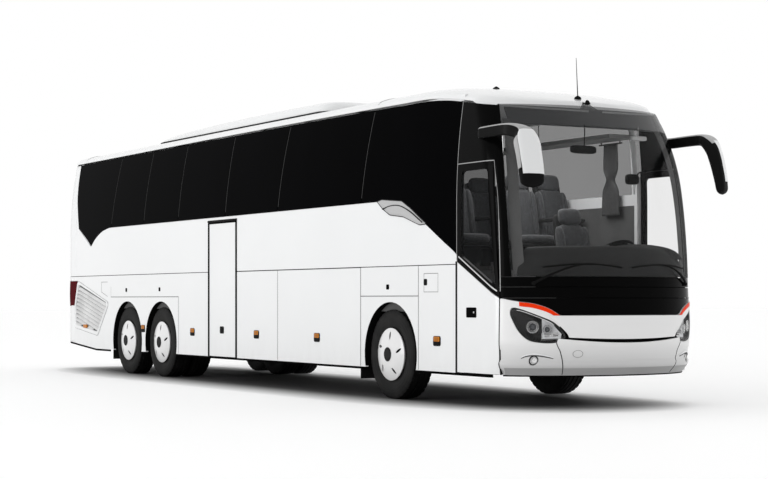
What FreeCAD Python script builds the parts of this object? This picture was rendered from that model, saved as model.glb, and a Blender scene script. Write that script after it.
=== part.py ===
import FreeCAD, Part
import math
import os

# Three-axle coach, +X forward, +Y to the left, +Z up, in millimetres.
# Origin: on the ground, under the middle of the whole coach with its mirrors.

# Whole coach
body_length = 13935.0
body_width = 2550.0
roof_height = 3600.0
skirt_height = 360.0
mirror_reach = 100.0
front_overhang = 2910.0
wheelbase = 6900.0
tag_spacing = 1350.0
seam_gap = 8.0
seat_gap = 0.3
overrun = 50.0
side_bulge = 1.5

# Side section
bulge_start_height = 2200.0
bulge_radius = 7320.0
eave_height = 3410.0
eave_bend_share = 0.2
eave_rise_share = 0.72
crown_half_width = 900.0
flat_tolerance = 0.000001
crown_drop = 30.0
eave_steps = 6
crown_steps = 2

# Nose, seen from the side and in plan
nose_rake = 1000.0
nose_depth = 750.0
level_shares = (0.05, 0.14, 0.25, 0.353, 0.483, 0.611, 0.722, 0.806, 0.881, 0.947, 1.02)
nose_back_shares = (0.12, 0.03, 0.0, 0.017, 0.065, 0.148, 0.265, 0.405, 0.578, 0.745, 0.98)
nose_depth_shares = (1.0, 1.0, 1.0, 0.99, 0.95, 0.90, 0.83, 0.77, 0.71, 0.67, 0.64)
nose_sectors = 16
tail_rake = 160.0
tail_back_shares = (0.15, 0.0, 0.0, 0.0, 0.04, 0.09, 0.13, 0.18, 0.28, 0.45, 1.0)
corner_sectors = 4
tail_corner_radius = 250.0
tail_sweep_run = 1450.0
tail_sweep_rise = 110.0
roof_fall_length = 2600.0
roof_fall_radius = 6200.0
roof_fall_steps = 7

# Shell
wall_thickness = 80.0
panel_thickness = 40.0
glass_thickness = 12.0
roof_thickness = 60.0

# Side lines and window band
crease_height = 1545.0
belt_height = 2310.0
band_top_height = 3410.0
band_tail_inset = 640.0
band_tail_bow = 96.0
band_tail_shares = ((0.25, 1.0), (0.8, 0.72), (1.0, 0.47), (0.6, 0.26), (0.0, 0.02))
band_drop_height = 2030.0
band_drop_inset = 1205.0
band_rise_run = 820.0
band_rise_shares = ((0.0, 0.0), (0.23, 0.42), (0.50, 0.80), (1.0, 1.0))
band_front_start = 2480.0
band_front_shares = ((0.0, 0.0), (0.31, 0.077), (0.44, 0.256), (0.54, 0.418), (0.64, 0.567), (1.0, 1.0))
band_front_run = 1400.0
band_front_fall = 1120.0
divider_width = 16.0
divider_lean = 170.0
pane_front_shares = (0.185, 0.295, 0.415, 0.55, 0.70, 0.885)
pane_border = 70.0

# Doors
front_door_rear_inset = 1404.5
front_door_front_inset = 597.5
front_door_top = 2640.0
front_door_lean = 150.0
front_door_edge_shares = ((0.1, 0.0), (0.0, 0.36), (0.2, 0.63), (0.55, 0.86), (1.0, 1.0))
door_glass_front_height = 1280.0
door_bottom = 368.0
door_glass_height = 1610.0
door_glass_border = 75.0
middle_door_front = 152.0
middle_door_width = 869.0
middle_door_top = 2223.0
door_arm_length = 520.0
door_arm_elbow = 110.0
door_arm_diameter = 45.0
door_pivot_inset = 157.0
door_pivot_depth = 155.0
door_column_diameter = 60.0
door_column_sides = 12

# Luggage flaps
flap_front_x = 3340.0
flap_split_x = 1100.0
flap_right_rear_x = -202.0
flap_left_rear_x = -1140.0

# Wheels
tyre_diameter = 1044.0
tyre_width = 295.0
tyre_side_inset = 32.0
twin_spacing = 330.0
tyre_bore_radius = 292.0
tyre_shoulder = 40.0
tyre_bulge_share = 0.12
rim_lip = 14.0
rim_wall = 12.0
rim_disc_inset = 55.0
cover_inset = 12.0
cover_edge = 6.0
cover_radius = 322.0
cover_dome = 38.0
cover_slots = 5
cover_slot_depth = 12.0
cover_slot_start = 190.0
cover_slot_end = 258.0
cover_slot_width = 22.0
hub_cap_radius = 85.0
hub_radius = 130.0
hub_length = 60.0
arch_radius = 610.0
arch_forward = 40.0
arch_sides = 40
kingpin_half_spacing = 960.0
kingpin_radius = 28.0

# Under the body
rail_half_spacing = 430.0
rail_width = 80.0
rail_height = 180.0
rail_base = 640.0
cross_depth = 100.0
floor_top = 1500.0
floor_thickness = 60.0
hold_front_x = 3250.0
hold_rear_x = -2050.0
hold_base = 420.0
hold_sheet = 40.0
axle_beam_size = 120.0
axle_tube_radius = 90.0
axle_bowl_radius = 230.0
axle_sides = 16
engine_length = 1350.0
engine_width = 740.0
engine_height = 690.0


def vec(x, y, z):
    return FreeCAD.Vector(x, y, z)


half_width = body_width / 2
nose_x = (body_length - mirror_reach) / 2
tail_x = nose_x - body_length
front_axle_x = nose_x - front_overhang
drive_axle_x = front_axle_x - wheelbase
tag_axle_x = drive_axle_x - tag_spacing
door_rear_x = nose_x - front_door_rear_inset
door_front_x = nose_x - front_door_front_inset
tyre_radius = tyre_diameter / 2
tyre_centre_y = half_width - tyre_side_inset - tyre_width / 2
middle_front_x = -middle_door_front - mirror_reach / 2
middle_rear_x = middle_front_x - middle_door_width


def half_width_at(z):
    """Half the body's width at a height: upright, then one long arc leaning in."""
    rise = max(0.0, z - bulge_start_height)
    return half_width - bulge_radius + math.sqrt(bulge_radius ** 2 - rise ** 2)


def polygon(points):
    return Part.Face(Part.makePolygon(points + [points[0]]))


def prism(radius, sides, base, height):
    """An upright bar with flat sides, its corners on a circle."""
    corners = []
    for index in range(sides):
        angle = 2 * math.pi * index / sides
        corners.append(base.add(vec(radius * math.cos(angle), radius * math.sin(angle), 0)))
    return polygon(corners).extrude(vec(0, 0, height))


def box(x0, x1, y0, y1, z0, z1):
    """A block between two corners, given in any order along y."""
    low_y = min(y0, y1)
    return Part.makeBox(x1 - x0, abs(y1 - y0), z1 - z0, vec(x0, low_y, z0))


def side_prism(points, side, inner_y=0.0, outer_y=None):
    """A side-view outline of (x, z) points, carried out sideways to one side."""
    outer = half_width + overrun if outer_y is None else outer_y
    face = polygon([vec(x, side * inner_y, z) for x, z in points])
    return face.extrude(vec(0, side * (outer - inner_y), 0))


def front_prism(points):
    """A front-view outline of (y, z) points, carried back through the nose."""
    face = polygon([vec(nose_x + overrun, y, z) for y, z in points])
    return face.extrude(vec(-nose_depth - nose_rake, 0, 0))


def cylinder(radius, length, base, axis):
    return Part.makeCylinder(radius, length, base, axis)


def fuse_all(shapes):
    whole = shapes[0]
    if len(shapes) > 1:
        whole = whole.multiFuse(shapes[1:])
    return whole.removeSplitter()


def arc_points(a, middle, b, steps):
    """Even points on the arc through three points, without the first."""
    return Part.Arc(a, middle, b).toShape().discretize(Number=steps + 1)[1:]


def section_prism(inset, low):
    """Cross-section of the body: upright sides, bulged tops, round eaves, flat crown."""
    x0 = tail_x - overrun
    side = [vec(x0, half_width - inset, low)]
    for share in level_shares:
        z = roof_height * share
        if low < z < eave_height:
            side.append(vec(x0, half_width_at(z) - inset, z))
    eave_y = half_width_at(eave_height) - inset
    crown_y = crown_half_width - inset / 2
    roof = roof_height - inset
    shoulder = roof - crown_drop
    eave = vec(x0, eave_y, eave_height)
    bend = vec(x0, eave_y - (eave_y - crown_y) * eave_bend_share,
               eave_height + (shoulder - eave_height) * eave_rise_share)
    crown = vec(x0, crown_y, shoulder)
    middle = vec(x0, 0, roof)
    side += [eave] + arc_points(eave, bend, crown, eave_steps)
    side += arc_points(crown, middle, vec(x0, -crown_y, shoulder), 2 * crown_steps)[:crown_steps]
    other = [vec(p.x, -p.y, p.z) for p in reversed(side[:-1])]
    return polygon(side + other).extrude(vec(body_length + 2 * overrun, 0, 0))


def plan_ring(level, inset):
    """Plan outline at one level: elliptical nose, straight sides, round tail corners."""
    z = roof_height * level_shares[level]
    front = nose_x - nose_rake * nose_back_shares[level] - inset
    depth = nose_depth * nose_depth_shares[level]
    back = tail_x + tail_rake * tail_back_shares[level] + inset
    side = half_width_at(z) - inset + side_bulge
    corner = tail_corner_radius - inset / 2
    ring = []
    for index in range(nose_sectors + 1):
        angle = math.pi * (0.5 - index / nose_sectors)
        ring.append(vec(front - depth + depth * math.cos(angle), side * math.sin(angle), z))
    for sign, order in ((-1, range(corner_sectors + 1)), (1, range(corner_sectors, -1, -1))):
        for index in order:
            angle = math.pi / 2 * index / corner_sectors
            ring.append(vec(back + corner - corner * math.sin(angle),
                            sign * (side - corner + corner * math.cos(angle)), z))
    return ring


def planar_faces(a, b, c, d):
    """One flat face through four corners, or two triangles where they don't lie in a plane."""
    normal = b.sub(a).cross(c.sub(a))
    if normal.Length == 0 or abs(d.sub(a).dot(normal.normalize())) > flat_tolerance:
        return [polygon([a, b, c]), polygon([a, c, d])]
    return [polygon([a, b, c, d])]


def ringed_solid(rings):
    """Rings of as many points each, joined in order into one closed solid of flat faces."""
    faces = [polygon(rings[0]), polygon(rings[-1])]
    for low, high in zip(rings, rings[1:]):
        for index in range(len(low)):
            following = (index + 1) % len(low)
            faces += planar_faces(low[index], low[following], high[following], high[index])
    solid = Part.Solid(Part.Shell(faces))
    if solid.Volume < 0:
        solid.reverse()
    return solid


def roof_fall_prism(inset):
    """Side view of the roof: level, then one long arc down to the windscreen."""
    roof = roof_height - inset + side_bulge
    radius = roof_fall_radius - inset
    start = nose_x - roof_fall_length
    rear = tail_x - overrun
    points = [(rear, 0), (rear, roof), (start, roof)]
    for index in range(roof_fall_steps):
        run = (roof_fall_length + overrun) * (index + 1) / roof_fall_steps
        points.append((start + run, roof - radius + math.sqrt(radius ** 2 - run ** 2)))
    points.append((nose_x + overrun, 0))
    return side_prism(points, 1, -half_width - overrun)


def tail_sweep():
    """What the rising underside of the tail takes away."""
    start = tail_x + tail_sweep_run
    return side_prism([
        (start, skirt_height), (tail_x, skirt_height + tail_sweep_rise),
        (tail_x - overrun, skirt_height + tail_sweep_rise), (tail_x - overrun, skirt_height - overrun),
        (start, skirt_height - overrun)], 1, -half_width - overrun)


envelopes = {}


def envelope(inset, open_below=False):
    """The body's outer form, moved in by an inset; open_below lets it cut through the bottom."""
    key = (inset, open_below)
    if key not in envelopes:
        low = skirt_height - overrun if open_below else skirt_height
        rings = [plan_ring(level, inset) for level in range(len(level_shares))]
        shape = ringed_solid(rings).common(section_prism(inset, low)).common(roof_fall_prism(inset))
        envelopes[key] = shape if open_below else shape.cut(tail_sweep())
    return envelopes[key]


shells = {}


def shell(outer, inner):
    """The wall between two insets, open below."""
    key = (outer, inner)
    if key not in shells:
        shells[key] = envelope(outer, outer > 0).cut(envelope(inner, True))
    return shells[key]


def glass_bed():
    """The skin that flush glass takes out of the wall."""
    return shell(0.0, glass_thickness + seat_gap)


def front_door_points(grow=0.0):
    """Side view of the entrance door: upright at the back, leaning with the nose in front."""
    low = door_bottom - grow
    high = front_door_top + grow
    rear = door_rear_x - grow
    points = [(rear, low)]
    for lean, rise in front_door_edge_shares:
        points.append((door_front_x + grow - front_door_lean * lean, low + (high - low) * rise))
    return points + [(rear, high)]


def middle_door_points(grow=0.0):
    return [
        (middle_rear_x - grow, door_bottom - grow),
        (middle_front_x + grow, door_bottom - grow),
        (middle_front_x + grow, middle_door_top + grow),
        (middle_rear_x - grow, middle_door_top + grow),
    ]


def flap_points(rear, front, grow=0.0):
    return [
        (rear - grow, skirt_height - grow),
        (front + grow, skirt_height - grow),
        (front + grow, crease_height - seam_gap + grow),
        (rear - grow, crease_height - seam_gap + grow),
    ]


flap_spans = {
    "luggage_flap_right_front": (-1, flap_split_x, flap_front_x),
    "luggage_flap_right_rear": (-1, flap_right_rear_x, flap_split_x),
    "luggage_flap_left_front": (1, flap_split_x, flap_front_x),
    "luggage_flap_left_rear": (1, flap_left_rear_x, flap_split_x),
}


def band_points(inset=0.0):
    """Side view of the dark window band, with its drop at the tail and its sweep down at the nose."""
    top = band_top_height - inset
    start = nose_x - band_front_start
    points = [
        (tail_x + band_tail_inset + inset - band_tail_bow * bow, belt_height + (top - belt_height) * rise)
        for bow, rise in band_tail_shares
    ]
    drop = tail_x + band_drop_inset
    low = band_drop_height + inset * 2
    for run, rise in band_rise_shares:
        points.append((drop + (band_rise_run - inset) * run, low + (belt_height + inset - low) * rise))
    for run, fall in band_front_shares[:-1]:
        points.append((start + band_front_run * run, belt_height + inset - band_front_fall * fall))
    points.append((door_rear_x - seam_gap, belt_height + inset - band_front_fall * 0.6))
    points.append((door_rear_x - seam_gap, top))
    return points


def divider_points(share):
    """One slanted gap between panes, leaning forward at its top."""
    x = tail_x + body_length * share
    half = divider_width / 2
    return [
        (x - half, belt_height - band_front_fall),
        (x + half, belt_height - band_front_fall),
        (x + half + divider_lean * 1.5, band_top_height + overrun),
        (x - half + divider_lean * 1.5, band_top_height + overrun),
    ]


def pane_edges():
    """Front and rear x of each pane at mid height, from tail to nose."""
    edges = [tail_x + band_tail_inset]
    edges += [tail_x + body_length * share + divider_lean for share in pane_front_shares]
    edges.append(door_rear_x - seam_gap)
    return edges


def side_glass():
    """Flush panes along both sides, parted by thin slanted gaps."""
    glass = shell(0.0, glass_thickness)
    panes = []
    for side in (-1, 1):
        band = glass.common(side_prism(band_points(), side, half_width / 2))
        gaps = [side_prism(divider_points(share), side, half_width / 2) for share in pane_front_shares]
        panes += band.cut(fuse_all(gaps)).Solids
    return Part.Compound(panes)


def window_openings(side):
    """Openings through the wall behind the panes, smaller than the panes by their bonded edge."""
    edges = pane_edges()
    openings = []
    for rear, front in zip(edges, edges[1:]):
        low = belt_height + pane_border
        high = band_top_height - pane_border
        lean = divider_lean / 2
        points = [
            (rear + pane_border - lean, low),
            (front - pane_border - lean, low),
            (front - pane_border + lean, high),
            (rear + pane_border + lean, high),
        ]
        if front > door_rear_x - band_front_run / 2:
            points[1] = (front - pane_border, low)
            points[2] = (front - pane_border, high)
        openings.append(side_prism(points, side, half_width / 2))
    return openings


def wall_zone(side, low, high, rear, front):
    """The stretch of one wall between two heights, in as far as the wall's inner face at the eave."""
    inner_y = half_width_at(eave_height) - wall_thickness
    return side_prism([(rear, low), (front, low), (front, high), (rear, high)], side, inner_y)


rear_seam_x = tail_x + 2 * tail_corner_radius
front_seam_x = door_rear_x - seam_gap


def side_wall(side):
    """Wall above the crease with window openings, and its sill down to the floor."""
    upper = shell(0.0, wall_thickness).common(
        wall_zone(side, crease_height, eave_height, rear_seam_x, front_seam_x))
    sill_low = floor_top - floor_thickness - overrun
    sill = shell(panel_thickness + seat_gap, wall_thickness).common(
        wall_zone(side, sill_low, crease_height, rear_seam_x, front_seam_x))
    wall = fuse_all([upper, sill])
    wall = wall.cut(glass_bed().common(
        side_prism(band_points(-seam_gap / 2), side, half_width / 2)))
    wall = wall.cut(fuse_all(window_openings(side)))
    if side < 0:
        wall = wall.cut(side_prism(middle_door_points(seam_gap), side, half_width / 2))
    return wall


def arch_cutter(axle_x, side):
    """Round wheel opening, flat-sided so that it adds few facets."""
    points = []
    for index in range(arch_sides):
        angle = 2 * math.pi * (index + 0.5) / arch_sides
        points.append((axle_x + arch_forward + arch_radius * math.cos(angle),
                       tyre_radius + arch_radius * math.sin(angle)))
    return side_prism(points, side, half_width / 2)


def lower_side(side):
    """Fixed panels under the crease: arches, the engine bay and the stretches between flaps."""
    panel = shell(0.0, panel_thickness).common(
        wall_zone(side, skirt_height - overrun, crease_height - seat_gap, rear_seam_x, front_seam_x))
    for axle in (front_axle_x, drive_axle_x, tag_axle_x):
        panel = panel.cut(arch_cutter(axle, side))
    for flap_side, rear, front in flap_spans.values():
        if flap_side == side:
            panel = panel.cut(side_prism(flap_points(rear, front, seam_gap), side, half_width / 2))
    if side < 0:
        panel = panel.cut(side_prism(middle_door_points(seam_gap), side, half_width / 2))
    panel = panel.cut(side_prism(grille_points(seam_gap), side, half_width / 2))
    return Part.Compound(panel.Solids)


def luggage_flap(name):
    side, rear, front = flap_spans[name]
    return shell(0.0, panel_thickness).common(
        side_prism(flap_points(rear, front, 0.0), side, half_width / 2))


grille_front_inset = 1980.0
grille_low = 580.0
grille_high = 1440.0
grille_frame = 45.0
grille_blades = 13
grille_blade_height = 22.0
grille_blade_depth = 30.0
grille_lean = 130.0
grille_foot_rise = 125.0


def grille_points(grow=0.0):
    rear = rear_seam_x + seam_gap - grow
    return [
        (rear, grille_low + grille_foot_rise - grow),
        (tail_x + grille_front_inset - 2 * tail_corner_radius + grow, grille_low - grow),
        (tail_x + grille_front_inset + grow, grille_high - 1.35 * tail_corner_radius + grow),
        (rear + grille_lean, grille_high + grow),
        (rear, grille_high - 2 * grille_lean + grow),
    ]


def side_grille(side):
    """Engine bay grille: a frame with blades that fall towards the nose."""
    zone = shell(0.0, panel_thickness).common(side_prism(grille_points(), side, half_width / 2))
    inner = side_prism(grille_points(-grille_frame), side, half_width / 2)
    frame = zone.cut(inner)
    pitch = (grille_high - grille_low) / grille_blades
    blades = []
    rear = rear_seam_x - overrun
    front = tail_x + grille_front_inset + overrun
    fall = (front - rear) * 0.24
    for index in range(grille_blades + 4):
        low = grille_low + grille_foot_rise + pitch * (index + 0.3)
        blades.append(side_prism([
            (rear, low), (front, low - fall), (front, low - fall + grille_blade_height),
            (rear, low + grille_blade_height)], side, half_width / 2))
    skin = shell(panel_thickness - grille_blade_depth, panel_thickness)
    slats = skin.common(side_prism(grille_points(-grille_frame + seam_gap), side, half_width / 2))
    slats = slats.common(fuse_all(blades))
    return fuse_all([frame] + slats.Solids)


def side_grilles():
    return Part.Compound([side_grille(-1), side_grille(1)])


def roof_shell():
    """Roof skin from eave to eave, as long as the side walls."""
    skin = shell(0.0, roof_thickness)
    zone = box(rear_seam_x, front_seam_x, -half_width, half_width, eave_height + seat_gap, roof_height + overrun)
    return skin.common(zone)


brow_low_height = 992.0
brow_high_height = 1190.0
brow_shares = ((0.6, 0.0), (0.69, 0.35), (0.79, 0.61), (0.885, 0.73), (1.0, 1.0))
screen_low_height = 1400.0
screen_side_back = 486.0
screen_top_back = 918.0
screen_top_height = 3262.0
screen_edge_shares = ((0.0, 0.0), (0.2, 0.43), (0.47, 0.70), (1.0, 1.0))
screen_border = 60.0


def screen_points(grow=0.0):
    """Side view of the windscreen: its back edges lean with the nose."""
    low = screen_low_height - grow
    high = screen_top_height + grow
    points = [(nose_x + overrun, high), (nose_x + overrun, low)]
    for lean, rise in screen_edge_shares:
        back = screen_side_back + (screen_top_back - screen_side_back) * lean
        points.append((nose_x - back - grow, low + (high - low) * rise))
    return points


def both_sides(points):
    return side_prism(points, 1).fuse(side_prism(points, -1))


def windscreen():
    return shell(0.0, glass_thickness).common(both_sides(screen_points()))


def below_brow(drop=0.0):
    """All of the nose below the line where its black panel starts, lifted at both corners."""
    line = [(half_width * across, brow_low_height + (brow_high_height - brow_low_height) * rise - drop)
            for across, rise in brow_shares]
    line.append((half_width + overrun, line[-1][1]))
    mirrored = [(-y, z) for y, z in reversed(line)]
    low = skirt_height - overrun
    return front_prism([(-half_width - overrun, low)] + mirrored + line + [(half_width + overrun, low)])


def front_frame():
    """Nose above the bumper: windscreen surround, front panel, pillars and roof lip."""
    zone = box(front_seam_x + seat_gap, nose_x + overrun, -half_width, half_width,
               skirt_height, roof_height + overrun)
    skin = shell(0.0, roof_thickness).common(zone).cut(below_brow())
    rebate = glass_bed().common(
        both_sides(screen_points(seam_gap / 2)))
    skin = skin.cut(rebate)
    skin = skin.cut(both_sides(screen_points(-screen_border)))
    skin = skin.cut(side_prism(front_door_points(seam_gap), -1))
    return skin.cut(side_prism(front_door_points(seat_gap), 1))


def door_leaf(side):
    """Panel of the entrance door's outline with its rebated glass opening."""
    leaf = shell(0.0, panel_thickness).common(side_prism(front_door_points(), side))
    rebate = glass_bed().common(
        side_prism(door_glass_outline(seam_gap / 2), side))
    return leaf.cut(rebate).cut(side_prism(door_glass_outline(-door_glass_border / 2), side))


def door_pane(side):
    return shell(0.0, glass_thickness).common(side_prism(door_glass_outline(), side))


nose_panel_half_width = 690.0
nose_panel_low = 752.0
nose_panel_high = brow_low_height - seam_gap
nose_panel_thickness = 30.0
nose_panel_flare_share = 1.16
seal_lip = 25.0


def nose_panel_points(grow=0.0):
    return [
        (-nose_panel_half_width - grow, nose_panel_low - grow),
        (nose_panel_half_width + grow, nose_panel_low - grow),
        (nose_panel_half_width * nose_panel_flare_share + grow, nose_panel_high + grow),
        (-nose_panel_half_width * nose_panel_flare_share - grow, nose_panel_high + grow),
    ]


def nose_panel():
    return shell(0.0, nose_panel_thickness).common(front_prism(nose_panel_points()))


lamp_shares = (
    (0.564, 0.21), (0.653, 0.575), (0.759, 0.774), (0.883, 0.975), (0.926, 1.0), (0.934, 0.82), (0.919, 0.6),
    (0.889, 0.316), (0.835, 0.087), (0.757, 0.0), (0.663, 0.0), (0.596, 0.09))
lamp_low = 704.0
lamp_high = 1071.0
lamp_depth = 60.0
fog_lamp_y = 1010.0
fog_lamp_height = 522.0
fog_lamp_half_width = 40.0
fog_lamp_half_height = 43.0
fog_lamp_sides = 12


def lamp_points(side, grow=0.0):
    points = []
    for across, up in lamp_shares:
        points.append((side * (half_width * across), lamp_low + (lamp_high - lamp_low) * up))
    middle_y = sum(p[0] for p in points) / len(points)
    middle_z = sum(p[1] for p in points) / len(points)
    grown = []
    for y, z in points:
        reach = math.hypot(y - middle_y, z - middle_z)
        grown.append((y + (y - middle_y) * grow / reach, z + (z - middle_z) * grow / reach))
    return grown


def fog_lamp_points(side, grow=0.0):
    points = []
    for index in range(fog_lamp_sides):
        angle = 2 * math.pi * index / fog_lamp_sides
        points.append((side * fog_lamp_y + (fog_lamp_half_width + grow) * math.cos(angle),
                       fog_lamp_height + (fog_lamp_half_height + grow) * math.sin(angle)))
    return points


def headlamps():
    """Head and fog lamps of both corners, flush with the bumper and clear of the doors."""
    skin = shell(0.0, lamp_depth)
    skin = skin.cut(side_prism(front_door_points(seam_gap), -1))
    skin = skin.cut(side_prism(front_door_points(seat_gap), 1))
    lamps = []
    for side in (-1, 1):
        lamps += skin.common(front_prism(lamp_points(side))).Solids
        lamps += skin.common(front_prism(fog_lamp_points(side))).Solids
    return Part.Compound(lamps)


tow_socket_radius = 21.0
tow_socket_y = -590.0
tow_socket_height = 640.0
tow_access_radius = 45.0


def front_bumper():
    """Bumper and lamp surround, wrapped round both corners to the wheel side panels."""
    zone = box(front_seam_x + seat_gap, nose_x + overrun, -half_width, half_width,
               skirt_height - overrun, roof_height)
    skin = shell(0.0, lamp_depth).common(zone).common(below_brow(seat_gap))
    panel_bed = shell(0.0, nose_panel_thickness + seat_gap).common(front_prism(nose_panel_points(seam_gap)))
    skin = skin.cut(panel_bed).cut(front_prism(nose_panel_points(-seal_lip)))
    skin = skin.cut(side_prism(front_door_points(seam_gap), -1))
    skin = skin.cut(side_prism(front_door_points(seat_gap), 1))
    for side in (-1, 1):
        skin = skin.cut(front_prism(lamp_points(side, seat_gap)))
        skin = skin.cut(front_prism(fog_lamp_points(side, seat_gap)))
    access = cylinder(tow_access_radius, nose_depth * 2, vec(nose_x - nose_depth, tow_socket_y, tow_socket_height),
                      vec(1, 0, 0))
    return Part.Compound(skin.cut(access).Solids)


tail_window_half_width = 1000.0
tail_window_low = 2380.0
tail_window_high = 3280.0
engine_lid_half_width = 930.0
engine_lid_low = 620.0
engine_lid_high = 1700.0
tail_lamp_low = 1050.0
tail_lamp_high = 1473.0
tail_lamp_wrap = 180.0


def tail_zone(low, high, half_span):
    return box(tail_x - overrun, rear_seam_x, -half_span, half_span, low, high)


def tail_lamp_zone(side, grow=0.0):
    inner = half_width - tail_corner_radius + grow
    return box(tail_x - overrun, tail_x + tail_lamp_wrap + tail_corner_radius + grow,
               side * (inner - 2 * grow), side * (half_width + overrun),
               tail_lamp_low - grow, tail_lamp_high + grow)


def rear_wall():
    """Tail above and below the lid, round both corners, with its window and lamp openings."""
    zone = box(tail_x - overrun, rear_seam_x - seat_gap, -half_width, half_width,
               skirt_height - overrun, roof_height + overrun)
    skin = shell(0.0, wall_thickness).common(zone)
    window = tail_zone(tail_window_low, tail_window_high, tail_window_half_width)
    border = tail_zone(tail_window_low + pane_border, tail_window_high - pane_border,
                       tail_window_half_width - pane_border)
    rebate = glass_bed()
    skin = skin.cut(rebate.common(window)).cut(border)
    lid_bed = shell(0.0, panel_thickness + seat_gap).common(tail_zone(
        engine_lid_low - seam_gap, engine_lid_high + seam_gap, engine_lid_half_width + seam_gap))
    skin = skin.cut(lid_bed).cut(tail_zone(
        engine_lid_low + seal_lip, engine_lid_high - seal_lip, engine_lid_half_width - seal_lip))
    lamp_bed = shell(0.0, lamp_depth + seat_gap)
    for side in (-1, 1):
        skin = skin.cut(lamp_bed.common(tail_lamp_zone(side, seam_gap / 2)))
    return skin


def rear_window():
    zone = tail_zone(tail_window_low + seam_gap, tail_window_high - seam_gap, tail_window_half_width - seam_gap)
    return shell(0.0, glass_thickness).common(zone)


def engine_lid():
    return shell(0.0, panel_thickness).common(tail_zone(engine_lid_low, engine_lid_high, engine_lid_half_width))


def tail_lamps():
    skin = shell(0.0, lamp_depth)
    return Part.Compound([skin.common(tail_lamp_zone(side)) for side in (-1, 1)])


def front_door():
    """Entrance door leaf with the brackets that its arms turn in."""
    return fuse_all([door_leaf(-1)] + door_hinge_block(door_rear_x))


def door_glass_outline(grow=0.0):
    """Side view of the door's pane, its lower edge falling towards the nose."""
    edge = door_glass_border / 2 - grow
    rear = door_rear_x + edge
    front = door_front_x - edge
    high = front_door_top - edge
    return [
        (rear, door_glass_height - grow),
        (front - front_door_lean * 0.02, door_glass_front_height - grow),
        (front - front_door_lean * 0.2, door_bottom + (front_door_top - door_bottom) * 0.63),
        (front - front_door_lean * 0.55, door_bottom + (front_door_top - door_bottom) * 0.86),
        (front - front_door_lean * 0.95, high),
        (rear, high),
    ]


def middle_door():
    leaf = shell(0.0, panel_thickness).common(side_prism(middle_door_points(), -1, half_width / 2))
    return fuse_all([leaf] + door_hinge_block(middle_rear_x))


door_arm_low = 900.0
door_arm_high = 1500.0
door_arm_plate = 60.0


def door_pivot(rear_x):
    return rear_x + door_pivot_inset, door_pivot_depth - half_width


def flat_arm(points, width):
    """A bar of square section that follows points at one height, mitred at its bends."""
    sides = ([], [])
    for index, p in enumerate(points):
        a = points[max(index - 1, 0)]
        b = points[min(index + 1, len(points) - 1)]
        along = b.sub(a).normalize()
        across = vec(-along.y, along.x, 0) * (width / 2)
        sides[0].append(p.add(across))
        sides[1].append(p.sub(across))
    outline = sides[0] + list(reversed(sides[1]))
    face = polygon([vec(p.x, p.y, p.z - width / 2) for p in outline])
    return face.extrude(vec(0, 0, width))


def door_arm(rear_x, foot):
    """Turning column with two bent arms that reach forward to the leaf and end in round eyes."""
    x, y = door_pivot(rear_x)
    column = prism(door_column_diameter / 2, door_column_sides, vec(x, y, foot),
                   door_arm_high + door_arm_plate - foot)
    pieces = [column]
    for z in (door_arm_low, door_arm_high):
        elbow = vec(x + door_arm_elbow, y + door_arm_elbow, z)
        tip = vec(x + door_arm_length, y, z)
        start = vec(x, y, z)
        pieces.append(flat_arm([start, elbow, tip], door_arm_diameter))
        pieces.append(prism(door_arm_diameter / 2, door_column_sides, tip.sub(vec(0, 0, door_arm_diameter / 2)),
                            door_arm_diameter))
    return fuse_all(pieces)


def door_hinge_block(rear_x):
    """Bracket on the leaf's inner face that the arm tips turn in."""
    x, y = door_pivot(rear_x)
    blocks = []
    for z in (door_arm_low, door_arm_high):
        blocks.append(box(x + door_arm_length - door_arm_plate, x + door_arm_length + door_arm_plate,
                          y - door_arm_diameter / 2 - seat_gap, panel_thickness - half_width,
                          z - door_arm_plate, z + door_arm_plate))
    return blocks


turn_sides = 26


def turned(points, x, y, side, height=tyre_radius, sides=turn_sides):
    """A closed outline of (along the axle, radius) points turned about an axle, as flat-sided sectors."""
    rings = []
    stretch = 1 / math.cos(math.pi / sides)
    for index in range(sides):
        angle = 2 * math.pi * (index + 0.5) / sides
        across = math.sin(angle) * stretch
        down = math.cos(angle) * stretch
        rings.append([vec(x + r * across, y + side * a, height - r * down) for a, r in points])
    faces = []
    for index in range(sides):
        ring = rings[index]
        following = rings[(index + 1) % sides]
        for k in range(len(points)):
            n = (k + 1) % len(points)
            corners = [ring[k], ring[n], following[n], following[k]]
            if points[k][1] == 0 and points[n][1] == 0:
                continue
            if points[k][1] == 0:
                corners = corners[:3]
            elif points[n][1] == 0:
                corners = [ring[k], ring[n], following[k]]
            faces.append(Part.Face(Part.makePolygon(corners + [corners[0]])))
    solid = Part.Solid(Part.Shell(faces))
    if solid.Volume < 0:
        solid.reverse()
    return solid


def tyre_outline():
    """Half section of a tyre from bead to bead, with bulged walls and stepped shoulders."""
    half = tyre_width / 2
    bulge = tyre_width * tyre_bulge_share / 2
    side = [
        (half - bulge, tyre_bore_radius),
        (half, (tyre_bore_radius + tyre_radius) / 2),
        (half - bulge / 2, tyre_radius - tyre_shoulder),
        (half - tyre_shoulder, tyre_radius),
    ]
    return side + [(-a, r) for a, r in reversed(side)]


def tyre(x, side, twin=False):
    solids = [turned(tyre_outline(), x, side * tyre_centre_y, side)]
    if twin:
        solids.append(turned(tyre_outline(), x, side * (tyre_centre_y - twin_spacing), side))
    return Part.Compound(solids)


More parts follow.
